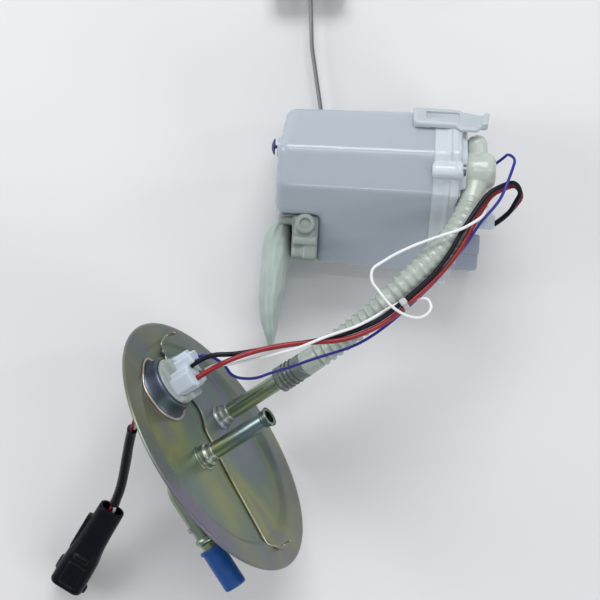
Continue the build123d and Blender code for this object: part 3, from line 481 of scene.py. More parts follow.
M = {}
M["zinc_steel"] = zinc_plate()
M["tube_steel"] = tube_metal()
M["spring_steel"] = tube_metal("spring_wire", (0.42, 0.5), [(0.34, srgb(150, 150, 140)), (0.5, srgb(176, 172, 150)),
                                                             (0.7, srgb(140, 146, 150))])
# painted shade: near-black steel for the inside of the return tube's open end, which is dark only from shade
M["bore_painted_shade"] = tube_metal("bore_painted_shade_metal", (0.4, 0.5), [(0.3, srgb(34, 40, 38)), (0.5, srgb(50, 54, 44)), (0.7, srgb(38, 44, 46))])
M["boss_steel"] = tube_metal("pressed_cup", (0.36, 0.44), [(0.30, srgb(128, 122, 148)), (0.46, srgb(92, 102, 118)), (0.58, srgb(80, 96, 100)),
                                                           (0.76, srgb(132, 126, 140))])
# painted highlight: pale pinkish-white metal for the ring at the cup's foot, standing in for the fillet's highlight
M["cup_foot_painted_highlight"] = tube_metal("cup_foot_painted_highlight_metal", (0.34, 0.42), [(0.34, srgb(196, 178, 172)), (0.5, srgb(202, 190, 178)), (0.7, srgb(186, 176, 184))])
M["braze"] = tube_metal("brazed_collar", (0.30, 0.40), [(0.34, srgb(138, 146, 160)), (0.5, srgb(152, 158, 150)), (0.7, srgb(126, 136, 152))])
M["brass"] = metal("brass_pin", srgb(190, 160, 90), srgb(210, 180, 110), (0.2, 0.3), 200)
M["steel"] = metal("ground_steel", srgb(120, 122, 126), srgb(136, 138, 142), (0.40, 0.46), 40)
M["aluminium"] = metal("die_cast", srgb(186, 188, 190), srgb(204, 206, 208), (0.34, 0.48), 120, bump_s=0.12, bump_scale=700)
M["copper"] = metal("armature_copper", srgb(168, 96, 58), srgb(120, 104, 92), (0.3, 0.45), 300)
M["magnet"] = plastic("ferrite", srgb(46, 46, 50), srgb(62, 62, 66), (0.45, 0.6), 200)
M["graphite"] = plastic("carbon", srgb(36, 36, 38), srgb(48, 48, 50), (0.4, 0.55), 250)
M["ceramic"] = plastic("ceramic_card", srgb(222, 220, 208), srgb(232, 232, 222), (0.2, 0.3), 80)
M["nylon_grey"] = plastic("reservoir_hdpe", srgb(170, 180, 189), srgb(176, 186, 195), (0.15, 0.20), 9, sss=0.45,
                          sss_r=(1.0, 1.05, 1.15), sss_scale=0.005, bump_s=0.03, bump_scale=160, bump_d=0.00010, spec=0.5)
M["nylon_lid"] = plastic("cover_hdpe", srgb(196, 205, 211), srgb(205, 213, 218), (0.15, 0.21), 11, sss=0.45,
                         sss_r=(1.0, 1.05, 1.1), sss_scale=0.004, bump_s=0.03, bump_scale=180, bump_d=0.00010, spec=0.5)
M["nylon_natural"] = plastic("tab_nylon", srgb(180, 188, 193), srgb(192, 199, 203), (0.26, 0.36), 14, sss=0.4, sss_scale=0.003,
                             bump_s=0.03, bump_scale=200)
M["nylon_green"] = plastic("natural_nylon", srgb(164, 174, 166), srgb(176, 185, 177), (0.18, 0.26), 14, sss=0.45,
                           sss_r=(1.0, 1.0, 0.85), sss_scale=0.0035, bump_s=0.03, bump_scale=200)
M["nylon_elbow"] = plastic("elbow_nylon", srgb(190, 198, 190), srgb(200, 207, 199), (0.16, 0.22), 14, sss=0.45,
                           sss_r=(1.0, 1.0, 0.9), sss_scale=0.0035, bump_s=0.02, bump_scale=200)
M["nylon_pod"] = plastic("pod_nylon", srgb(132, 143, 139), srgb(144, 154, 149), (0.26, 0.36), 14, sss=0.4,
                         sss_r=(1.0, 1.0, 0.9), sss_scale=0.003, bump_s=0.03, bump_scale=200)
M["nylon_white"] = plastic("white_nylon", srgb(184, 195, 208), srgb(198, 208, 219), (0.26, 0.36), 20, sss=0.3, sss_scale=0.002,
                           bump_s=0.03, bump_scale=240)
M["nylon_clear"] = plastic("clear_grey_nylon", srgb(170, 182, 180), srgb(184, 194, 191), (0.18, 0.26), 24, sss=0.35,
                           sss_scale=0.002, transmission=0.3, bump_s=0.03, bump_scale=240)
M["nylon_lilac"] = plastic("lilac_nylon", srgb(142, 151, 165), srgb(154, 163, 177), (0.18, 0.27), 16, sss=0.4, sss_scale=0.004,
                           bump_s=0.02, bump_scale=200)
M["clear_cuff"] = plastic("clear_cuff_nylon", srgb(116, 128, 124), srgb(138, 148, 142), (0.14, 0.2), 24, sss=0.3, sss_scale=0.002,
                          transmission=0.35, bump_s=0.02, bump_scale=240)
M["cuff_dark"] = plastic("barb_rings", srgb(58, 66, 60), srgb(78, 86, 78), (0.2, 0.3), 60)
M["sleeve_black"] = plastic("glossy_sleeve", srgb(4, 6, 16), srgb(8, 10, 22), (0.24, 0.32), 60, bump_s=0.05, bump_scale=300, spec=0.28)
M["plastic_black"] = plastic("black_plastic", srgb(3, 5, 15), srgb(7, 9, 20), (0.30, 0.42), 120, bump_s=0.12, bump_scale=1200, spec=0.2)
M["plastic_orange"] = plastic("orange_plastic", srgb(186, 80, 30), srgb(200, 92, 38), (0.32, 0.46), 120)
M["cap_blue"] = plastic("blue_vinyl", srgb(6, 68, 136), srgb(14, 80, 152), (0.36, 0.5), 90, sss=0.15, sss_scale=0.002, bump_s=0.1)
M["valve_blue"] = plastic("blue_rubber", srgb(20, 30, 92), srgb(28, 40, 110), (0.4, 0.5), 150)
M["rubber_black"] = plastic("black_rubber", srgb(18, 18, 20), srgb(26, 26, 28), (0.5, 0.65), 150, bump_s=0.2)
M["felt"] = felt("strainer_cloth", srgb(160, 176, 170), srgb(174, 188, 182))
M["wire_red"] = plastic("red_insulation", srgb(128, 12, 24), srgb(148, 20, 32), (0.26, 0.36), 200, bump_s=0.04)
M["wire_black"] = plastic("black_insulation", srgb(6, 8, 22), srgb(10, 12, 30), (0.34, 0.44), 200, bump_s=0.04, spec=0.25)
M["wire_blue"] = plastic("blue_insulation", srgb(16, 22, 128), srgb(24, 32, 148), (0.26, 0.36), 200, bump_s=0.04)
M["wire_white"] = plastic("white_insulation", srgb(222, 224, 226), srgb(234, 236, 238), (0.28, 0.38), 200, bump_s=0.04)
M["float_foam"] = plastic("nitrile_foam", srgb(44, 38, 34), srgb(58, 50, 44), (0.75, 0.9), 300, bump_s=0.6, bump_scale=1400, bump_d=0.0002)
M["translucent"] = plastic("tie_nylon", srgb(206, 208, 214), srgb(220, 222, 226), (0.2, 0.3), 90, sss=0.3, sss_scale=0.002, transmission=0.25)

for sp in frame["record"]["subparts"]:
    o = NODES[sp["node"]]
    mat = M[sp["material_slot"]]
    o.data.materials.clear()
    o.data.materials.append(mat)


# ---------------------------------------------------------------- mesh helpers
def link(o, body="module", mat=None, slot=None):
    COL.objects.link(o)
    if mat is not None:
        o.data.materials.clear()
        o.data.materials.append(mat)
    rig.ride(o, body)
    if slot:
        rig.slot(o, slot)
    return o


def mesh_obj(name, verts, faces, smooth=True):
    me = bpy.data.meshes.new(name)
    me.from_pydata([tuple(v) for v in verts], [], faces)
    me.validate()
    me.update()
    if smooth:
        for p in me.polygons:
            p.use_smooth = True
    return bpy.data.objects.new(name, me)


def nurbs(name, pts, dia=0.0, res=10):
    cu = bpy.data.curves.new(name, "CURVE")
    cu.dimensions = "3D"
    sp = cu.splines.new("NURBS")
    sp.points.add(len(pts) - 1)
    for k, p in enumerate(pts):
        sp.points[k].co = (*p, 1)
    sp.order_u = 3
    sp.use_endpoint_u = True
    cu.resolution_u = res
    if dia:
        cu.bevel_depth = dia / 2
        cu.bevel_resolution = 5
        cu.use_fill_caps = True
    return bpy.data.objects.new(name, cu)


def route_points(pts, res=12):
    o = nurbs("tmp_route", pts, 0, res)
    COL.objects.link(o)
    bpy.context.view_layer.update()
    me = bpy.data.meshes.new_from_object(o.evaluated_get(bpy.context.evaluated_depsgraph_get()))
    out = [v.co.copy() for v in me.vertices]
    bpy.data.objects.remove(o)
    bpy.data.meshes.remove(me)
    return out


def arc_len(P):
    s = [0.0]
    for a, b in zip(P[:-1], P[1:]):
        s.append(s[-1] + (b - a).length)
    return s


class Path:
    """points read from a route's spline, with frames carried along it"""

    def __init__(self, P):
        self.P = P
        self.s = arc_len(P)
        self.L = self.s[-1]

    def at(self, t):
        t = max(0.0, min(self.L, t))
        lo, hi = 0, len(self.s) - 1
        while hi - lo > 1:
            mid = (lo + hi) // 2
            if self.s[mid] <= t:
                lo = mid
            else:
                hi = mid
        f = (t - self.s[lo]) / max(self.s[hi] - self.s[lo], 1e-9)
        return self.P[lo].lerp(self.P[hi], f)

    def tan(self, t):
        e = 0.0006
        return (self.at(t + e) - self.at(t - e)).normalized()


def sweep_mesh(name, path, ts, radius, segs=32, up=Vector((0, 0, 1)), caps=True, offset=None):
    """rings of radius(t, angle) along the path at the stations ts"""
    verts, faces = [], []
    tan0 = path.tan(ts[0])
    r = up - tan0 * up.dot(tan0)
    r.normalize()
    for t in ts:
        tg = path.tan(t)
        r = (r - tg * r.dot(tg)).normalized()
        b = tg.cross(r)
        c = path.at(t)
        if offset:
            o = offset(t)
            c = c + r * o[0] + b * o[1]
        for k in range(segs):
            a = 2 * math.pi * k / segs
            rad = radius(t, a)
            verts.append(c + (r * math.cos(a) + b * math.sin(a)) * rad)
    n = len(ts)
    for i in range(n - 1):
        for k in range(segs):
            a, b2 = i * segs + k, i * segs + (k + 1) % segs
            faces.append((a, b2, b2 + segs, a + segs))
    if caps:
        faces.append(tuple(reversed(range(segs))))
        faces.append(tuple(range((n - 1) * segs, n * segs)))
    return mesh_obj(name, verts, faces)


# ---------------------------------------------------------------- solid helpers
def ico_dirs(sub):
    bm = bmesh.new()
    bmesh.ops.create_icosphere(bm, subdivisions=sub, radius=1.0)
    d = [v.co.copy() for v in bm.verts]
    bm.free()
    return d


ICO = ico_dirs(3)


def hull(items, dirs=None):
    """convex hull of balls (centre in metres, radius in mm)"""
    bm = bmesh.new()
    for p, r in items:
        if r <= 0:
            bm.verts.new(p)
        else:
            for d in (dirs or ICO):
                bm.verts.new(p + d * (r / 1000))
    bmesh.ops.convex_hull(bm, input=bm.verts)
    bmesh.ops.delete(bm, geom=[v for v in bm.verts if not v.link_faces], context="VERTS")
    bmesh.ops.recalc_face_normals(bm, faces=bm.faces)
    return bm


def ring_pts(c, axis, R, n=28, x=None):
    axis = axis.normalized()
    x = (x or Vector((0.31, 0.52, 0.79))).cross(axis).normalized()
    y = axis.cross(x)
    return [c + (x * math.cos(2 * math.pi * k / n) + y * math.sin(2 * math.pi * k / n)) * (R / 1000) for k in range(n)]


def rod_hull(c0, c1, R, r0=0.0, r1=0.0, n=36):
    """cylinder from c0 to c1 with radius R and rounded ends"""
    ax = (c1 - c0).normalized()
    it = []
    for c, r, s in ((c0, r0, 1), (c1, r1, -1)):
        cc = c + ax * (s * r / 1000)
        it += [(p, r) for p in ring_pts(cc, ax, R - r, n)]
    return hull(it, ico_dirs(2) if (r0 or r1) else None)


def box_hull(o, x, y, z, x0, x1, y0, y1, z0, z1, r):
    """rounded box in a frame (o in metres, unit axes, mm)"""
    it = []
    for a in (x0 + r, x1 - r):
        for b2 in (y0 + r, y1 - r):
            for c in (z0 + r, z1 - r):
                it.append((o + (x * a + y * b2 + z * c) / 1000, r))
    return hull(it, ico_dirs(2))


def merge(name, bms):
    big = bmesh.new()
    for b2 in bms:
        t = bpy.data.meshes.new("t")
        b2.to_mesh(t)
        b2.free()
        big.from_mesh(t)
        bpy.data.meshes.remove(t)
    me = bpy.data.meshes.new(name)
    big.to_mesh(me)
    big.free()
    o = bpy.data.objects.new(name, me)
    COL.objects.link(o)
    return o


def bake_mods(o):
    bpy.context.view_layer.update()
    me = bpy.data.meshes.new_from_object(o.evaluated_get(bpy.context.evaluated_depsgraph_get()))
    o.modifiers.clear()
    old = o.data
    o.data = me
    bpy.data.meshes.remove(old)
    return o


def fuse(o, voxel, smooth=4, factor=0.5):
    """voxel remesh, in metres, then smoothed a little so that joints flow together"""
    m = o.modifiers.new("remesh", "REMESH")
    m.mode = "VOXEL"
    m.voxel_size = voxel
    m.adaptivity = 0
    bake_mods(o)
    bm = bmesh.new()
    bm.from_mesh(o.data)
    for _ in range(smooth):
        bmesh.ops.smooth_vert(bm, verts=bm.verts, factor=factor, use_axis_x=True, use_axis_y=True, use_axis_z=True)
    bm.to_mesh(o.data)
    bm.free()
    return shade(o)


def shade(o, angle=None):
    for p in o.data.polygons:
        p.use_smooth = True
    if angle is not None:
        o.data.set_sharp_from_angle(angle=math.radians(angle))
    return o


def cut(o, bms, op="DIFFERENCE"):
    c = merge("cutter", bms)
    m = o.modifiers.new("cut", "BOOLEAN")
    m.operation = op
    m.solver = "EXACT"
    m.object = c
    bake_mods(o)
    bpy.data.objects.remove(c)
    return o


def place(o, mat, slot, replaced=(), body="module"):
    o.data.materials.clear()
    o.data.materials.append(M[mat])
    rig.ride(o, body)
    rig.slot(o, slot)
    if replaced:
        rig.replaces(o, *replaced)
    return o


def turned(name, o, ax, x, prof, n=72, conform=None, closed=True):
    """revolve a closed (radius, height) profile in mm about ax at o (metres)"""
    y = ax.cross(x)
    verts, faces = [], []
    m = len(prof)
    for k in range(n):
        a = 2 * math.pi * k / n
        d = x * math.cos(a) + y * math.sin(a)
        for r, h in prof:
            p = o + (d * r + ax * h) / 1000
            verts.append(conform(p, r, h) if conform else p)
    for k in range(n):
        k2 = (k + 1) % n
        for i in range(m if closed else m - 1):
            i2 = (i + 1) % m
            faces.append((k * m + i, k2 * m + i, k2 * m + i2, k * m + i2))
    ob = mesh_obj(name, verts, faces)
    bm = bmesh.new()
    bm.from_mesh(ob.data)
    bmesh.ops.remove_doubles(bm, verts=bm.verts, dist=1e-7)
    bmesh.ops.dissolve_degenerate(bm, edges=bm.edges, dist=1e-8)
    bmesh.ops.recalc_face_normals(bm, faces=bm.faces)
    bm.to_mesh(ob.data)
    bm.free()
    for p in ob.data.polygons:
        p.use_smooth = True
    COL.objects.link(ob)
    return ob


def smoothstep(a, b2, x):
    t = max(0.0, min(1.0, (x - a) / (b2 - a)))
    return t * t * (3 - 2 * t)


def on_plane(x, y, o, n):
    """where the line of sight through pixel (x, y) meets the plane through o (metres)"""
    c = Vector((SX, SY, 1200)) / 1000
    d = Vector(((x - 300) / 2440, (300 - y) / 2440, -1))
    return c + d * ((o - c).dot(n) / d.dot(n))


def on_flange(x, y, h):
    return on_plane(x, y, fp(0, 0, h), FN)


# ---------------------------------------------------------------- cords
cords = []
for nm, route, dia, L, slot in (
        ("lead_red", RED_ROUTE, 0.0023, 0.2085, "wire_red"), ("lead_black", BLACK_ROUTE, 0.0023, 0.21, "wire_black"),
        ("lead_blue", BLUE_ROUTE, 0.0014, 0.2405, "wire_blue"), ("lead_white", WHITE_ROUTE, 0.0014, 0.2585, "wire_white")):
    o = nurbs(nm, route, dia)
    link(o, "module", M[slot], slot)
    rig.replaces(o, slot)
    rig.cord(o, exit=route[0], length=L, diameter=dia, far_end="object", stiffness="limp", lay="loose")

# ribbed delivery hose
hp = Path(route_points(HOSE_ROUTE))
HOSE_PLAIN0, HOSE_PLAIN1 = 0.0085, 0.004
PITCH = 0.00392


def hose_r(t, a=0.0):
    if t < HOSE_PLAIN0:
        k = t / HOSE_PLAIN0
        return 0.00600 - 0.0003 * k
    if t > hp.L - HOSE_PLAIN1:
        k = (t - hp.L + HOSE_PLAIN1) / HOSE_PLAIN1
        return 0.00555 + 0.0004 * (1 if k > 0.35 else 0)
    n = (t - HOSE_PLAIN0) / PITCH
    ph = n % 1.0
    u = t / hp.L                                   # 0 at the flange, 1 at the elbow
    blend = max(0.0, min(1.0, (u - 0.35) / 0.4))
    c = 0.5 - 0.5 * math.cos(2 * math.pi * ph)
    sharp = c ** 1.7
    broad = min(1.0, c * 1.75) ** 0.9
    prof = sharp * (1 - blend) + broad * blend
    depth = 0.00115 * (1 - blend) + 0.00052 * blend
    wide = 0.00012 if 9.0 <= n < 10.0 else 0.0
    return 0.00615 - depth + (depth - 0.00002) * prof + wide * prof * 0


ts, t = [], 0.0
while t < hp.L:
    ts.append(t)
    t += PITCH / 16
ts.append(hp.L)
hose = sweep_mesh("hose_ribbed", hp, ts, hose_r, 56)
link(hose, "module", M["nylon_green"], "nylon_green")
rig.replaces(hose, "delivery_hose")
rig.cord(hose, exit=HOSE_ROUTE[0], length=0.1155, diameter=0.0123, far_end="object", stiffness="stiff", lay="loose",
        path=hp.P)

# ---------------------------------------------------------------- vehicle connector
VA = Vector((-0.48066, -0.77901, -0.40262)).normalized()
VX = Vector((0, 0, 1)).cross(VA).normalized()
VY = VA.cross(VX)
VR = raw(-89.869, -99.695, 30.5)


def vp(x, y, s):
    return VR + (VX * x + VY * y + VA * s) / 1000


def loft(stations, r_c, n=10):
    """hulls between neighbouring rounded rectangles (s, half x, half y)"""
    out = []
    for (s0, a0, b0), (s1, a1, b1) in zip(stations[:-1], stations[1:]):
        it = []
        for s, a, b2 in ((s0, a0, b0), (s1, a1, b1)):
            for sx in (-1, 1):
                for sy in (-1, 1):
                    it += [(p, 0) for p in ring_pts(vp(sx * (a - r_c), sy * (b2 - r_c), s), VA, r_c, 20)]
        out.append(hull(it))
    return out


conn_b = merge("connector_body", loft([(0.2, 6.1, 4.7), (1.0, 6.4, 4.95), (6, 6.5, 5.0), (14, 6.6, 5.1), (22, 6.9, 5.3), (27, 7.4, 5.6),
                                       (31, 8.1, 5.9), (40, 8.4, 6.0), (48.8, 8.4, 6.0), (50.0, 7.9, 5.6)], 3.6)
               + [box_hull(VR, VX, VY, VA, -8.5, -5.0, -2.2, 2.2, 9.0, 30.0, 0.7),
                  box_hull(VR, VX, VY, VA, 6.6, 9.6, -2.0, 2.0, 45.0, 48.6, 0.8),
                  box_hull(VR, VX, VY, VA, -3.8, 3.8, 4.2, 6.9, 28.6, 31.6, 0.9),
                  box_hull(VR, VX, VY, VA, -9.4, -6.0, -2.4, 2.4, 36.5, 44.0, 1.2),
                  box_hull(VR, VX, VY, VA, -4.4, 4.4, 4.2, 6.7, 33.6, 46.8, 0.9)])
fuse(conn_b, 0.0004, 3)
for c in [box_hull(VR, VX, VY, VA, x - 1.2, x + 1.2, y - 1.5, y + 1.5, 38.0, 52.0, 0.1)
          for x, y in ((-5.0, 2.4), (0, 2.4), (5.0, 2.4), (-2.5, -2.4), (2.5, -2.4))]:
    cut(conn_b, [c])
cut(conn_b, [rod_hull(vp(x, 0, -3), vp(x, 0, 6.5), 3.5, 0, 1.2) for x in (-1.9,)])
cut(conn_b, [rod_hull(vp(x, 0, -3), vp(x, 0, 6.5), 3.5, 0, 1.2) for x in (1.9,)])
shade(conn_b, 40)
place(conn_b, "plastic_black", "plastic_black", ["vehicle_connector", "vehicle_connector_lock"])

# sleeved pigtail: three leads that show at both ends of a flattened glossy sleeve
pp = Path(route_points(PIGTAIL_ROUTE))
S0, S1 = 0.0218, pp.L - 0.0030
pl = Path(list(pp.P) + [vp(0, 0, 2.0), vp(0, 0, 4.5)])
bits = []


def keep(o, idx):
    bm = bmesh.new()
    bm.from_mesh(o.data)
    for f in bm.faces:
        f.material_index = idx
        f.smooth = True
    bpy.data.objects.remove(o)
    bits.append(bm)


def sleeve_r(t, a):
    n = noise.noise(Vector((math.cos(a) * 0.9, math.sin(a) * 0.9, t * 90)))
    flat = 1.0 + 0.16 * math.cos(2 * a)
    e = min((t - S0), (S1 - t)) / 0.002
    rim = 0.00018 * max(0.0, 1 - e)
    return 0.00276 * flat + 0.00014 * n + rim


keep(sweep_mesh("t0", pp, [S0 + (S1 - S0) * k / 110 for k in range(111)], sleeve_r, 36), 0)
for j, (ph, col_i) in enumerate(((0.4, 3), (2.5, 1), (4.6, 2))):
    def off(t, ph=ph):
        spread = 0.00098 + 0.0006 * smoothstep(S1 * 1000 - 1, (S1 + 0.006) * 1000, t * 1000)
        w = ph + 0.35 * math.sin(t * 210)
        return (spread * math.cos(w), spread * math.sin(w) * 0.85)

    keep(sweep_mesh("t1", pl, [pl.L * k / 160 for k in range(161)], lambda t, a: 0.00072, 14, offset=off), col_i)
sleeve = merge("pigtail_sleeve", bits)
sleeve.data.materials.append(M["sleeve_black"])
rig.ride(sleeve, "module")
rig.slot(sleeve, "rubber_black")
for k in ("wire_blue", "wire_white", "wire_red"):
    sleeve.data.materials.append(M[k])
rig.replaces(sleeve, "pigtail_cable")
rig.cord(sleeve, exit=PIGTAIL_ROUTE[0], length=0.0717, diameter=0.0056, far_end="connector", stiffness="medium", lay="loose",
        path=pp.P, with_pieces=[conn_b, NODES["vehicle_connector_terminals"]])
"""PIGTAIL_END"""

# ---------------------------------------------------------------- reservoir
def offset_poly(pts, off):
    n = len(pts)
    lines = []
    for i in range(n):
        (x0, y0), (x1, y1) = pts[i], pts[(i + 1) % n]
        dx, dy = x1 - x0, y1 - y0
        L = math.hypot(dx, dy)
        nx, ny = dy / L, -dx / L
        lines.append((nx, ny, nx * x0 + ny * y0 + off))
    out = []
    for i in range(n):
        a1, b1, c1 = lines[i - 1]
        a2, b2, c2 = lines[i]
        D = a1 * b2 - a2 * b1
        out.append(((c1 * b2 - c2 * b1) / D, (a1 * c2 - a2 * c1) / D))
    return out


def scaled(pts, a):
    s = 0.9765 + 0.047 * a / 77.0
    wb = -35.2 + 1.4 * a / 77.0
    return [(v * s, wb if w is None else w * s) for v, w in pts]


UPPER = [(17, 33), (-1.5, 27), (-14.3, 15.3), (-14.3, -19), (36.5, -19), (36.5, 14)]
BELLY = [(10, 10), (-14.3, 10), (-14.3, None), (11, None), (13, -12)]
LOWER = [(12, 24), (-1.5, 27), (-36.5, -5), (-36.5, -18), (-22, None), (11, None), (13, -16)]


def prism(poly, a0, a1, r, off=0.0, start=None, r1=None):
    """rounded prism between lengths a0 and a1; start(v) sets the left end back at each corner"""
    it = []
    for a, end in ((a0, 0), (a1, 1)):
        rr = r if (not end or r1 is None) else r1
        for v, w in offset_poly(scaled(poly, a), off - rr):
            aa = (a + rr + (start(v) if start else 0)) if not end else a - rr
            it.append((rp(aa, v, w), rr))
    return hull(it)


def left_end(v):
    return 3.4 * smoothstep(10, 36, v)


shell = merge("reservoir_body", [prism(UPPER, 0.1, 82.0, 4.6, 0.0, left_end), prism(BELLY, 0.6, 82.0, 3.0),
                                 prism(LOWER, 21.0, 82.0, 3.4)])
fuse(shell, 0.00062, 14)
place(shell, "nylon_grey", "nylon_grey", ["reservoir_shell"])

NOTCH0 = rp(0, 0, 0)
lid_parts = [prism(UPPER, 79.3, 86.0, 1.5, 1.5), prism(LOWER, 79.3, 86.0, 1.5, 1.5), prism(BELLY, 79.3, 86.0, 1.5, 1.5),
             prism(UPPER, 72.8, 80.0, 1.2, 0.55), prism(LOWER, 72.8, 80.0, 1.2, 0.55)]
lid_parts += [rod_hull(rp(72.2, 9.3, 32.6), rp(87.2, 9.3, 32.6), 3.75, 1.4, 0.5),
              rod_hull(rp(84.0, 9.9, 33.4), rp(86.3, 9.9, 33.4), 3.5, 0.3, 0.4),
              hull([(rp(a, v, w), 1.0) for a in (84.0, 87.9) for v, w in ((2, 5), (31, 5), (31, 15.5), (15.8, 30.2), (2, 27.3))]),
              box_hull(RO / 1000, RU, RV, RW, 79.6, 84.0, -43.2, -36.0, -18.0, -11.0, 1.2),
              box_hull(RO / 1000, RU, RV, RW, 84.5, 96.4, -15.2, -9.0, 6.4, 14.6, 0.8)]
lid = merge("reservoir_cover", lid_parts)
fuse(lid, 0.00055, 6)
hose_cut = []
for k in range(9):
    t0 = hp.L - 0.060 + k * 0.0066
    hose_cut.append(rod_hull(hp.at(t0 - 0.0004), hp.at(min(t0 + 0.0071, hp.L)), 6.75))
E0 = rp(94.9, 10.5, 18.0)
HE = Vector(HOSE_ROUTE[-1])
EA = (HE - E0).normalized()
BARREL = (HE - E0).length * 1000
DOME = rp(93.0, 27.4, 18.0) - E0
hose_cut.append(rod_hull(E0, E0 + EA * 0.018, 6.35))
for c in hose_cut:
    cut(lid, [c])
shade(lid, 40)
place(lid, "nylon_lid", "nylon_grey", ["reservoir_lid"])

# ribs and step lines on the cover, as the photograph shows them
rib_parts = []
for a0, a1, off in ((80.6, 81.9, 1.6), (84.3, 85.6, 1.6)):
    rib_parts.append(prism(UPPER, a0, a1, 0.5, off))
    rib_parts.append(prism(LOWER, a0, a1, 0.5, off))
ribs = merge("cover_ribs", rib_parts)
fuse(ribs, 0.0005, 2)
for k in range(9):
    cut(ribs, [rod_hull(hp.at(hp.L - 0.0604 + k * 0.0066), hp.at(min(hp.L - 0.0529 + k * 0.0066, hp.L)), 6.95)])
shade(ribs, 40)
place(ribs, "nylon_lid", "nylon_grey")

# ---------------------------------------------------------------- elbow
elbow = merge("outlet_elbow_body", [
    hull([(p, 0) for p in ring_pts(rp(87.9, 10.5, 18.0), RU, 8.2)] + [(p, 0) for p in ring_pts(rp(92.0, 10.5, 18.0), RU, 9.35)]
         + [(p, 4.6) for p in ring_pts(rp(98.4, 10.5, 18.0), RU, 4.8, 20)], ico_dirs(2)),
    rod_hull(E0, E0 + EA * (BARREL / 1000), 5.75, 0, 0.4),
    hull([(p, 0) for p in ring_pts(E0, EA, 6.9)] + [(p, 0) for p in ring_pts(E0 + EA * 0.0135, EA, 5.8)]),
    rod_hull(E0, E0 + DOME.normalized() * 0.0174, 5.0, 0, 4.6),
    rod_hull(E0 + EA * 0.0030, E0 + EA * 0.0050, 7.6, 0.6, 0.6)])
fuse(elbow, 0.00045, 5)
place(elbow, "nylon_elbow", "nylon_green", ["outlet_elbow"])

# ---------------------------------------------------------------- locking tab
TN = (RV + RW).normalized()
TY = (RV - RW).normalized()
TO = rp(62.6, 26.6, 24.9)


def tb(x, y, z):
    return TO + (RU * x + TY * y + TN * z) / 1000


def tslab(pts, z0, z1, r):
    return hull([(tb(x, y, z), r) for x, y in pts for z in (z0 + r, z1 - r)], ico_dirs(2))


tab = merge("locking_bar", [
    tslab([(1.2, 5.2), (2.6, 3.6), (20.0, 3.6), (20.0, 12.5), (1.2, 12.9)], 0.9, 4.5, 1.1),
    tslab([(18.0, 3.6), (33.6, 3.6), (34.2, 9.2), (27.0, 10.6), (18.0, 12.4)], 0.9, 4.2, 1.1),
    tslab([(1.0, 4.4), (8.0, 4.4), (8.0, 12.4), (1.0, 12.4)], -0.6, 3.0, 0.6),
    tslab([(19.0, 4.6), (23.0, 1.0), (29.8, 1.0), (32.6, 4.6)], 1.4, 4.0, 0.9),
    tslab([(32.4, 3.4), (34.4, 3.4), (35.2, 10.6), (33.4, 9.6)], 1.4, 5.6, 0.7)])
fuse(tab, 0.0004, 4)
cut(tab, [tslab([(6.6, 6.4), (21.6, 6.4), (21.6, 10.4), (6.6, 10.4)], 3.1, 6.4, 0.5)])
shade(tab, 45)
place(tab, "nylon_natural", "nylon_natural", ["locking_tab"])

# ---------------------------------------------------------------- inlet pod
IO = RO / 1000
pod_parts = [
    box_hull(IO, RU, RV, RW, 9.0, 21.2, -35.0, -14.0, -22.0, 10.8, 2.0),
    box_hull(IO, RU, RV, RW, 9.6, 20.2, -24.6, -14.4, 4.0, 13.8, 1.6),
    box_hull(IO, RU, RV, RW, 14.2, 21.4, -35.4, -14.0, -20.0, 12.2, 1.4),
    box_hull(IO, RU, RV, RW, 9.4, 21.2, -28.6, -24.6, 6.0, 13.2, 0.9),
    box_hull(IO, RU, RV, RW, 2.6, 12.0, -19.0, -15.2, -20.0, 9.6, 1.3),
    rod_hull(rp(15, -18.4, 8.0), rp(15, -18.4, 15.6), 4.9, 0.3, 0.9)]
pod = merge("inlet_pod", pod_parts)
fuse(pod, 0.0005, 3)
cut(pod, [rod_hull(rp(15, -18.4, 14.4), rp(15, -18.4, 18.0), 2.7)])
eye = on_plane(283.4, 215.2, rp(0, 0, 0), RW)
cut(pod, [rod_hull(eye - RW * 0.04, eye + RW * 0.04, 1.05)])
shade(pod, 45)
place(pod, "nylon_pod", "nylon_green", ["inlet_housing"])

# ---------------------------------------------------------------- strainer sock
EDGE = [(217.5, 279.5, 290.5, 25), (221.0, 275.0, 291.5, 30), (227, 269.4, 292.0, 33), (236, 264.0, 292.4, 35), (245, 262.2, 292.2, 36),
        (253, 261.4, 291.9, 36.6), (264, 260.6, 289.8, 37), (275, 259.7, 287.4, 37), (289, 258.7, 286.6, 36.5),
        (299.5, 258.1, 282.8, 36), (307, 258.3, 281.2, 35), (315, 258.9, 279.9, 34), (323, 260.6, 278.6, 32),
        (331, 263.0, 277.0, 30), (339, 265.3, 275.2, 26), (345, 267.2, 273.4, 22), (347.6, 268.8, 272.0, 18)]


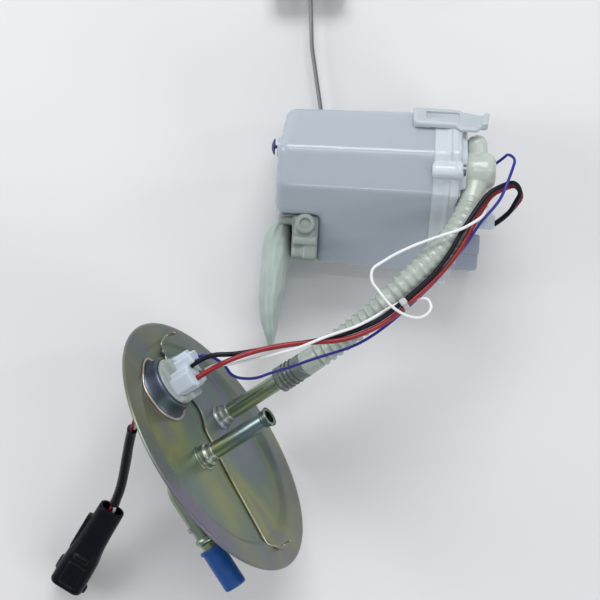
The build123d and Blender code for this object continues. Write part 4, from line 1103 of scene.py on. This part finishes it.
def sock_mesh():
    zt, n = 20.6, 96
    rows = []
    m = 90
    for k in range(m + 1):
        f = k / m * (len(EDGE) - 1)
        i = min(int(f), len(EDGE) - 2)
        u = f - i
        e = [EDGE[max(0, i - 1)], EDGE[i], EDGE[i + 1], EDGE[min(len(EDGE) - 1, i + 2)]]
        row = []
        for c in range(4):
            p0, p1, p2, p3 = (q[c] for q in e)
            row.append(0.5 * (2 * p1 + (p2 - p0) * u + (2 * p0 - 5 * p1 + 4 * p2 - p3) * u * u + (3 * p1 - p0 - 3 * p2 + p3) * u ** 3))
        rows.append(row)
    verts, faces = [], []
    for y, xl, xr, h in rows:
        zc = zt
        s = (1200 - zc - 6) / 2440
        X0, X1, Y = (xl - 300) * s, (xr - 300) * s, (300 - y) * s
        cx, hw, hh = (X0 + X1) / 2, (X1 - X0) / 2, h / 2
        for k in range(n):
            a = 2 * math.pi * k / n
            ca, sa = math.cos(a), math.sin(a)
            e = 0.72
            px_ = math.copysign(abs(ca) ** e, ca)
            pz_ = math.copysign(abs(sa) ** (e * 1.15), sa)
            q = Vector((px_ * 1.2, Y * 0.052, pz_ * 1.8))
            fold = noise.noise(q + Vector((3.1, 0, 0))) * 1.1 + noise.noise(q * 2.3) * 0.55
            crease = -0.9 * math.exp(-((px_ + 0.15 + 0.25 * math.sin(Y * 0.09)) / 0.16) ** 2) * (1 if sa > 0 else 0.4)
            crease += 0.55 * math.exp(-((px_ - 0.25 + 0.2 * math.sin(Y * 0.13 + 1)) / 0.2) ** 2)
            edge = min(1.0, min(y - EDGE[0][0], EDGE[-1][0] - y) / 12.0 + 0.25)
            inward = (fold - 0.55 + crease * 0.8) * edge
            zz = pz_ * hh + inward * sa * 1.1
            xx = px_ * hw + min(0.0, inward * 0.55) * ca
            verts.append(raw(cx + xx, Y, zc + zz - 0.2))
    m = len(rows)
    for i in range(m - 1):
        for k in range(n):
            a, b2 = i * n + k, i * n + (k + 1) % n
            faces.append((a, a + n, b2 + n, b2))
    faces.append(tuple(range(n)))
    faces.append(tuple(reversed(range((m - 1) * n, m * n))))
    return mesh_obj("strainer_bag", verts, faces)


sock = sock_mesh()
COL.objects.link(sock)
place(sock, "felt", "felt", ["strainer_sock"])
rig.padded(sock, fill=0.3)

# ---------------------------------------------------------------- side chamber
side = merge("side_box", [
    box_hull(IO, RU, RV, RW, 86.1, 98.0, -35.8, -18.7, -28.0, 4.4, 1.8),
    box_hull(IO, RU, RV, RW, 85.6, 98.4, -28.2, -18.6, -27.0, 5.6, 1.0),
    box_hull(IO, RU, RV, RW, 82.7, 87.0, -36.0, -33.6, 0.5, 4.5, 0.8)])
fuse(side, 0.00045, 2)
place(side, "nylon_lilac", "nylon_lilac", ["side_chamber"])

# small white lead connector, with its latch
conn = merge("lead_housing", [
    box_hull(IO, RU, RV, RW, 96.3, 104.2, -16.0, -9.0, 6.4, 14.8, 0.8),
    box_hull(IO, RU, RV, RW, 97.6, 102.6, -9.6, -7.7, 8.4, 12.8, 0.6),
    box_hull(IO, RU, RV, RW, 98.4, 101.6, -14.6, -10.4, 14.0, 15.6, 0.4)])
fuse(conn, 0.00035, 2)
cut(conn, [rod_hull(rp(101.0, -13.6, w), rp(105.5, -13.6, w), 1.35) for w in (9.0, 12.2)])
shade(conn, 40)
place(conn, "nylon_white", "nylon_white", ["pump_lead_connector"])

# ---------------------------------------------------------------- flange
REC, T = 2.8, 1.5


def plate_h(r):
    return -REC + REC * smoothstep(48.6, 55.0, r) - 0.25 * smoothstep(64.6, 65.76, r)


prof = [(0.0, plate_h(0))]
r = 2.0
while r < 65.0:
    prof.append((r, plate_h(r)))
    r += 2.0 if r < 46 else 0.5
prof += [(65.35, plate_h(65.2)), (65.62, -0.4), (65.74, -0.75), (65.62, -1.15), (65.3, -T)]
back = []
r = 64.5
while r > 1.0:
    back.append((r, min(-T, plate_h(r - 0.9) - T)))
    r -= 2.0 if r < 46 else 0.5
prof += back + [(0.0, -REC - T)]
plate = turned("flange_sheet", fp(0, 0, 0), FN, FT1, prof, 160)
BP, BQ = -12.9, 35.0
cut(plate, [rod_hull(fp(BP, BQ, -8), fp(BP, BQ, 8), 13.4, n=96)])
# punched marks and weld pads stay off; the boss is drawn from the sheet
# foot height of the bright ring that paints the highlight on the cup's base fillet
HIGHLIGHT_RING_H = -2.4
boss_prof = [(8.2, 4.5), (9.4, 4.55), (10.6, 4.6), (11.3, 4.9), (11.9, 5.0), (12.5, 4.85), (12.9, 4.3), (13.1, 3.4), (13.3, 2.0),
             (13.7, 0.6), (14.1, -0.6), (14.5, -1.6), (15.1, -2.3), (16.0, -2.75), (16.6, -2.9),
             (16.6, -3.6), (15.6, -3.9), (13.6, -3.6), (12.7, -2.6), (12.3, -1.0), (12.0, 1.0), (11.6, 2.6), (10.8, 3.2), (8.2, 3.2)]


def conform(p, rr, h):
    if rr < 13.5:
        return p
    q = p - FC / 1000
    lp, lq = q.dot(FT1) * 1000, q.dot(FT2) * 1000
    R2 = math.hypot(lp, lq)
    rise = plate_h(R2) + REC
    return p + FN * (rise * smoothstep(13.5, 15.8, rr) / 1000)


boss = turned("flange_cup", fp(BP, BQ, 0), FN, FT1, boss_prof, 128, conform)
place(plate, "zinc_steel", "zinc_steel", ["flange_plate"])
place(boss, "boss_steel", "zinc_steel")

# painted highlight: a bright ring round the foot of the cup stands in for the highlight on its base fillet
cup_highlight_ring = turned("flange_cup_painted_highlight_ring", fp(BP, BQ, 0), FN, FT1, [
    (14.5, HIGHLIGHT_RING_H + 0.1), (15.05, HIGHLIGHT_RING_H + 0.75), (15.6, HIGHLIGHT_RING_H + 0.85), (16.1, HIGHLIGHT_RING_H + 0.6), (16.4, HIGHLIGHT_RING_H), (15.8, HIGHLIGHT_RING_H - 0.6)], 128, conform)
place(cup_highlight_ring, "cup_foot_painted_highlight", "zinc_steel")

# collars where the tubes are brazed through
RETP, RETQ, SUPP, SUPQ = -13.8, -1.75, 27.2, 8.6
col1 = turned("return_collar", fp(RETP, RETQ, 0), FN, FT1, [
    (3.9, -2.9), (7.4, -2.86), (6.6, -2.62), (6.1, -2.2), (5.8, -1.6), (5.7, -0.9), (5.75, -0.3), (5.7, 0.3), (5.45, 0.8),
    (5.05, 1.2), (4.75, 1.7), (4.6, 2.4), (4.4, 3.4), (4.15, 4.2), (3.9, 4.6)], 64)
place(col1, "braze", "tube_steel")
col2 = turned("supply_collar", fp(SUPP, SUPQ, 0), FN, FT1, [
    (3.9, -2.9), (6.8, -2.86), (6.0, -2.5), (5.5, -1.8), (5.35, -0.8), (5.2, 0.0), (4.85, 0.6), (4.6, 1.4), (4.45, 2.4), (4.2, 3.2),
    (3.9, 3.6)], 64)
place(col2, "braze", "tube_steel")
lip = turned("return_lip", fp(RETP, RETQ, 0), FN, FT1, [
    (3.9, 32.4), (4.03, 32.6), (4.06, 33.6), (4.2, 34.4), (4.5, 35.1), (4.72, 35.7), (4.74, 36.0), (4.62, 36.2), (4.42, 36.15),
    (4.2, 35.8)], 64)
place(lip, "tube_steel", "tube_steel")
# painted shade: the funnel inside the tube end takes the near-black material so the open bore reads dark
bore = turned("return_bore", fp(RETP, RETQ, 0), FN, FT1, [
    (4.42, 36.12), (4.3, 36.1), (4.05, 35.6), (3.75, 35.0), (3.45, 34.0), (3.16, 32.5), (3.16, 30.0), (3.3, 30.0), (3.3, 32.5),
    (3.9, 35.2)], 64)
place(bore, "bore_painted_shade", "tube_steel")
band = turned("cap_stop_bead", fp(RETP, -26.0, -24.5), -FT2, FN, [
    (3.9, 6.4), (4.3, 6.8), (5.0, 7.6), (5.2, 8.4), (5.0, 9.2), (4.3, 10.0), (3.9, 10.4)], 64)
place(band, "tube_steel", "tube_steel")

# retaining wire across the flange
WZ = [(175.6, 332.8, 6.9), (171.2, 334.0, 3.6), (166.6, 335.8, 0.9), (163.0, 339.6, 0.7), (160.8, 343.8, 0.0), (161.3, 347.6, -1.0),
      (163.4, 352.0, -2.0), (166.5, 359.6, -2.1), (172.0, 372.0, -2.1), (185.0, 391.0, -2.1), (196.0, 402.6, -2.1), (201.2, 411.5, -2.1),
      (204.2, 420.0, -2.1), (205.2, 427.5, -2.1), (207.6, 433.5, -2.1), (212.5, 442.0, -2.1), (217.5, 452.5, -2.1), (221.7, 460.8, -2.1),
      (236.8, 489.0, -2.1), (252.0, 516.5, -2.1), (262.0, 534.6, -2.1), (266.4, 542.8, -1.7), (269.2, 545.2, -0.9), (274.0, 545.3, 0.4),
      (277.6, 547.4, 0.9), (281.4, 547.3, 1.2), (285.2, 544.2, 2.6), (290.5, 540.6, 6.0)]
wp = Path(route_points([on_flange(x, y, h) for x, y, h in WZ], 10))
wire = sweep_mesh("retaining_wire", wp, [wp.L * k / 420 for k in range(421)], lambda t, a: 0.00066, 14)
link(wire, "module", M["spring_steel"], "spring_steel")
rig.replaces(wire, "locating_wire")
clip = []
for x, y in ((163.6, 351.6), (270.6, 545.2)):
    c = on_flange(x, y, -1.0)
    clip.append(rod_hull(c - FN * 0.0016, c + FN * 0.0008, 1.5, 0.2, 0.6))
pads = merge("wire_welds", clip)
fuse(pads, 0.0003, 2)
place(pads, "braze", "tube_steel")

# ---------------------------------------------------------------- harness plug and its socket
PO = fp(0, 0, 0)


def pbox(p0, p1, q0, q1, h0, h1, r=0.6):
    return box_hull(PO, FT1, FT2, FN, p0, p1, q0, q1, h0, h1, r)


plug = merge("plug_body", [
    pbox(-19.0, -6.0, 27.6, 38.9, 2.6, 17.2, 1.0), pbox(-20.4, -18.0, 28.6, 36.4, 2.8, 16.6, 0.8),
    pbox(-17.4, -8.2, 37.6, 42.6, 9.5, 20.8, 0.9), pbox(-15.4, -10.4, 41.6, 44.4, 8.5, 19.0, 0.8),
    pbox(-7.2, -5.2, 30.0, 37.0, 7.0, 16.4, 0.6), pbox(-18.0, -8.0, 26.9, 28.6, 8.0, 15.6, 0.5)])
fuse(plug, 0.00038, 3)
PINS = [(-15.5, 30.8), (-14.0, 37.0), (-8.5, 38.6), (-9.0, 31.8)]
for p, q in PINS:
    cut(plug, [rod_hull(fp(p, q, 15.0), fp(p, q, 22.0), 1.5)])
shade(plug, 40)
place(plug, "nylon_white", "nylon_white", ["harness_plug"])
for nm, route, slot, r in (("red", RED_ROUTE, "wire_red", 1.15), ("black", BLACK_ROUTE, "wire_black", 1.15),
                           ("blue", BLUE_ROUTE, "wire_blue", 0.95), ("white", WHITE_ROUTE, "wire_white", 0.95)):
    p0 = Vector(route[0])
    place(merge("lead_end_" + nm, [rod_hull(p0 - FN * 0.0048, p0 + FN * 0.0003, r, 0.1, 0.3)]), slot, slot)
sock_b = merge("socket_body", [
    rod_hull(fp(BP, BQ, -3.0), fp(BP, BQ, 3.0), 8.0, 0, 0), rod_hull(fp(BP, BQ, 2.0), fp(BP, BQ, 5.4), 8.0),
    rod_hull(fp(BP, BQ, 4.9), fp(BP, BQ, 6.1), 11.7, 0, 0.7), pbox(-19.4, -6.4, 25.0, 45.6, 5.2, 7.6, 0.9),
    pbox(-18.0, -7.0, 23.6, 27.2, 6.0, 12.2, 0.9), pbox(-18.6, -15.6, 36.0, 45.2, 6.0, 11.6, 0.8),
    pbox(-10.0, -7.0, 38.0, 45.0, 6.0, 11.0, 0.8)])
fuse(sock_b, 0.0004, 3)
place(sock_b, "nylon_clear", "nylon_clear", ["bulkhead_connector"])

# ---------------------------------------------------------------- clear cuff on the supply tube
AX = FN
cuff = turned("hose_end_cuff", fp(SUPP, SUPQ, 0), FN, FT1, [
    (4.05, 33.0), (5.7, 32.9), (6.25, 33.3), (6.35, 34.0), (6.2, 34.8), (5.95, 35.2), (5.95, 36.0), (6.15, 36.5), (6.2, 37.0),
    (5.95, 37.6), (5.85, 39.0), (5.8, 41.0), (5.9, 44.0), (6.05, 47.0), (6.0, 48.6), (4.2, 48.6)], 72)
place(cuff, "clear_cuff", "nylon_clear", ["hose_cuff"])
rings = []
for h in (36.2, 38.2, 40.4, 42.8):
    o = turned("ring_t", fp(SUPP, SUPQ, 0), FN, FT1, [(5.84, h - 0.32), (6.2, h - 0.22), (6.28, h), (6.2, h + 0.22), (5.84, h + 0.32)], 64)
    bm = bmesh.new()
    bm.from_mesh(o.data)
    rings.append(bm)
    bpy.data.objects.remove(o)
rg = merge("cuff_rings", rings)
shade(rg)
place(rg, "cuff_dark", "nylon_clear")

# ---------------------------------------------------------------- bundle tie
def pixel(p):
    k = 2440 / (1200 - p.z * 1000)
    return 300 + (p.x * 1000 - SX) * k, 300 - (p.y * 1000 - SY) * k


def nearest(path, x, y, share=0.55):
    best = None
    for k in range(400):
        t = path.L * share * k / 400
        u, v2 = pixel(path.at(t))
        d = (u - x) ** 2 + (v2 - y) ** 2
        if best is None or d < best[0]:
            best = (d, t)
    return best[1]


LEADS = [Path(route_points(r2)) for r2 in (RED_ROUTE, BLACK_ROUTE, BLUE_ROUTE, WHITE_ROUTE)]
cen = [(pth.at(t), pth.tan(t)) for pth, t in ((pth, nearest(pth, 404.5, 306.0)) for pth in LEADS)]
TC = sum((c for c, _ in cen), Vector()) / 4
TT = sum((t for _, t in cen), Vector()).normalized()
it_out = []
for (c, _), rr in zip(cen, (1.15, 1.15, 0.7, 0.7)):
    cc = c - TT * (c - TC).dot(TT)
    for s in (-0.0011, 0.0011):
        it_out += [(p, 0.25) for p in ring_pts(cc + TT * s, TT, rr + 0.35, 20)]
tie_parts = [hull(it_out, ico_dirs(1))]
up2 = (Vector((0, 0, 1)) - TT * TT.z).normalized()
side2 = TT.cross(up2)
top = max((c for c, _ in cen), key=lambda c: c.z)
tie_parts.append(box_hull(top - TT * (top - TC).dot(TT) + up2 * 0.0019, TT, side2, up2, -1.7, 1.7, -1.4, 1.4, -0.9, 1.0, 0.4))
tie = merge("bundle_tie", tie_parts)
fuse(tie, 0.0002, 2)
place(tie, "translucent", "nylon_clear")
print("tie spread mm", [round((c - TC).length * 1000, 2) for c, _ in cen])

# ---------------------------------------------------------------- floor and light
fm, nt, b = nt_clear("floor_pale")
v = obj_coord(nt)
nt.links.new(ramp(nt, noise_tex(nt, v, 3, 2), [(0.3, (0.72, 0.72, 0.73)), (0.7, (0.75, 0.75, 0.76))]), b.inputs["Base Color"])
b.inputs["Roughness"].default_value = 0.85
bpy.ops.mesh.primitive_plane_add(size=6, location=(0, 0, -0.0002))
floor = bpy.context.object
floor.name = "floor"
floor.data.materials.append(fm)
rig.stage(floor)


def area(name, loc, target, size, power, color=(1, 1, 1)):
    l = bpy.data.lights.new(name, "AREA")
    l.shape = "RECTANGLE"
    l.size, l.size_y = size
    l.energy = power
    l.color = color
    o = bpy.data.objects.new(name, l)
    COL.objects.link(o)
    o.location = loc
    o.rotation_euler = (Vector(target) - Vector(loc)).to_track_quat("-Z", "Y").to_euler()
    return o


area("key_top", (0.05, 0.95, 1.05), (0, 0, 0.03), (0.9, 0.5), 11)
area("fill_left", (-1.1, 0.1, 0.7), (0, 0, 0.03), (0.6, 0.9), 4)
area("strip_front", (0.10, -0.80, 0.86), (0, 0.03, 0.05), (0.50, 0.05), 0.9)
area("strip_over", (0.02, 0.22, 1.25), (0, 0, 0.03), (0.42, 0.05), 1.1)
area("strip_left", (-0.86, 0.10, 0.72), (0, 0.03, 0.05), (0.05, 0.45), 0.8)
area("strip_right", (0.80, 0.22, 0.80), (0, 0.03, 0.05), (0.05, 0.40), 0.7)
area("fill_right", (0.9, -0.7, 0.8), (0, 0, 0.03), (0.6, 0.6), 3)
w = bpy.context.scene.world or bpy.data.worlds.new("world")
bpy.context.scene.world = w
w.use_nodes = True
bg = w.node_tree.nodes.get("Background") or w.node_tree.nodes.new("ShaderNodeBackground")
bg.inputs[0].default_value = (0.93, 0.95, 1.0, 1)
bg.inputs[1].default_value = 0.35
bpy.context.scene.view_settings.view_transform = "Standard"

_lo, _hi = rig.bounds()
json.dump({"cad": CAD_BOX, "visual": [[float(x) for x in _lo], [float(x) for x in _hi]]}, open("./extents.json", "w"))
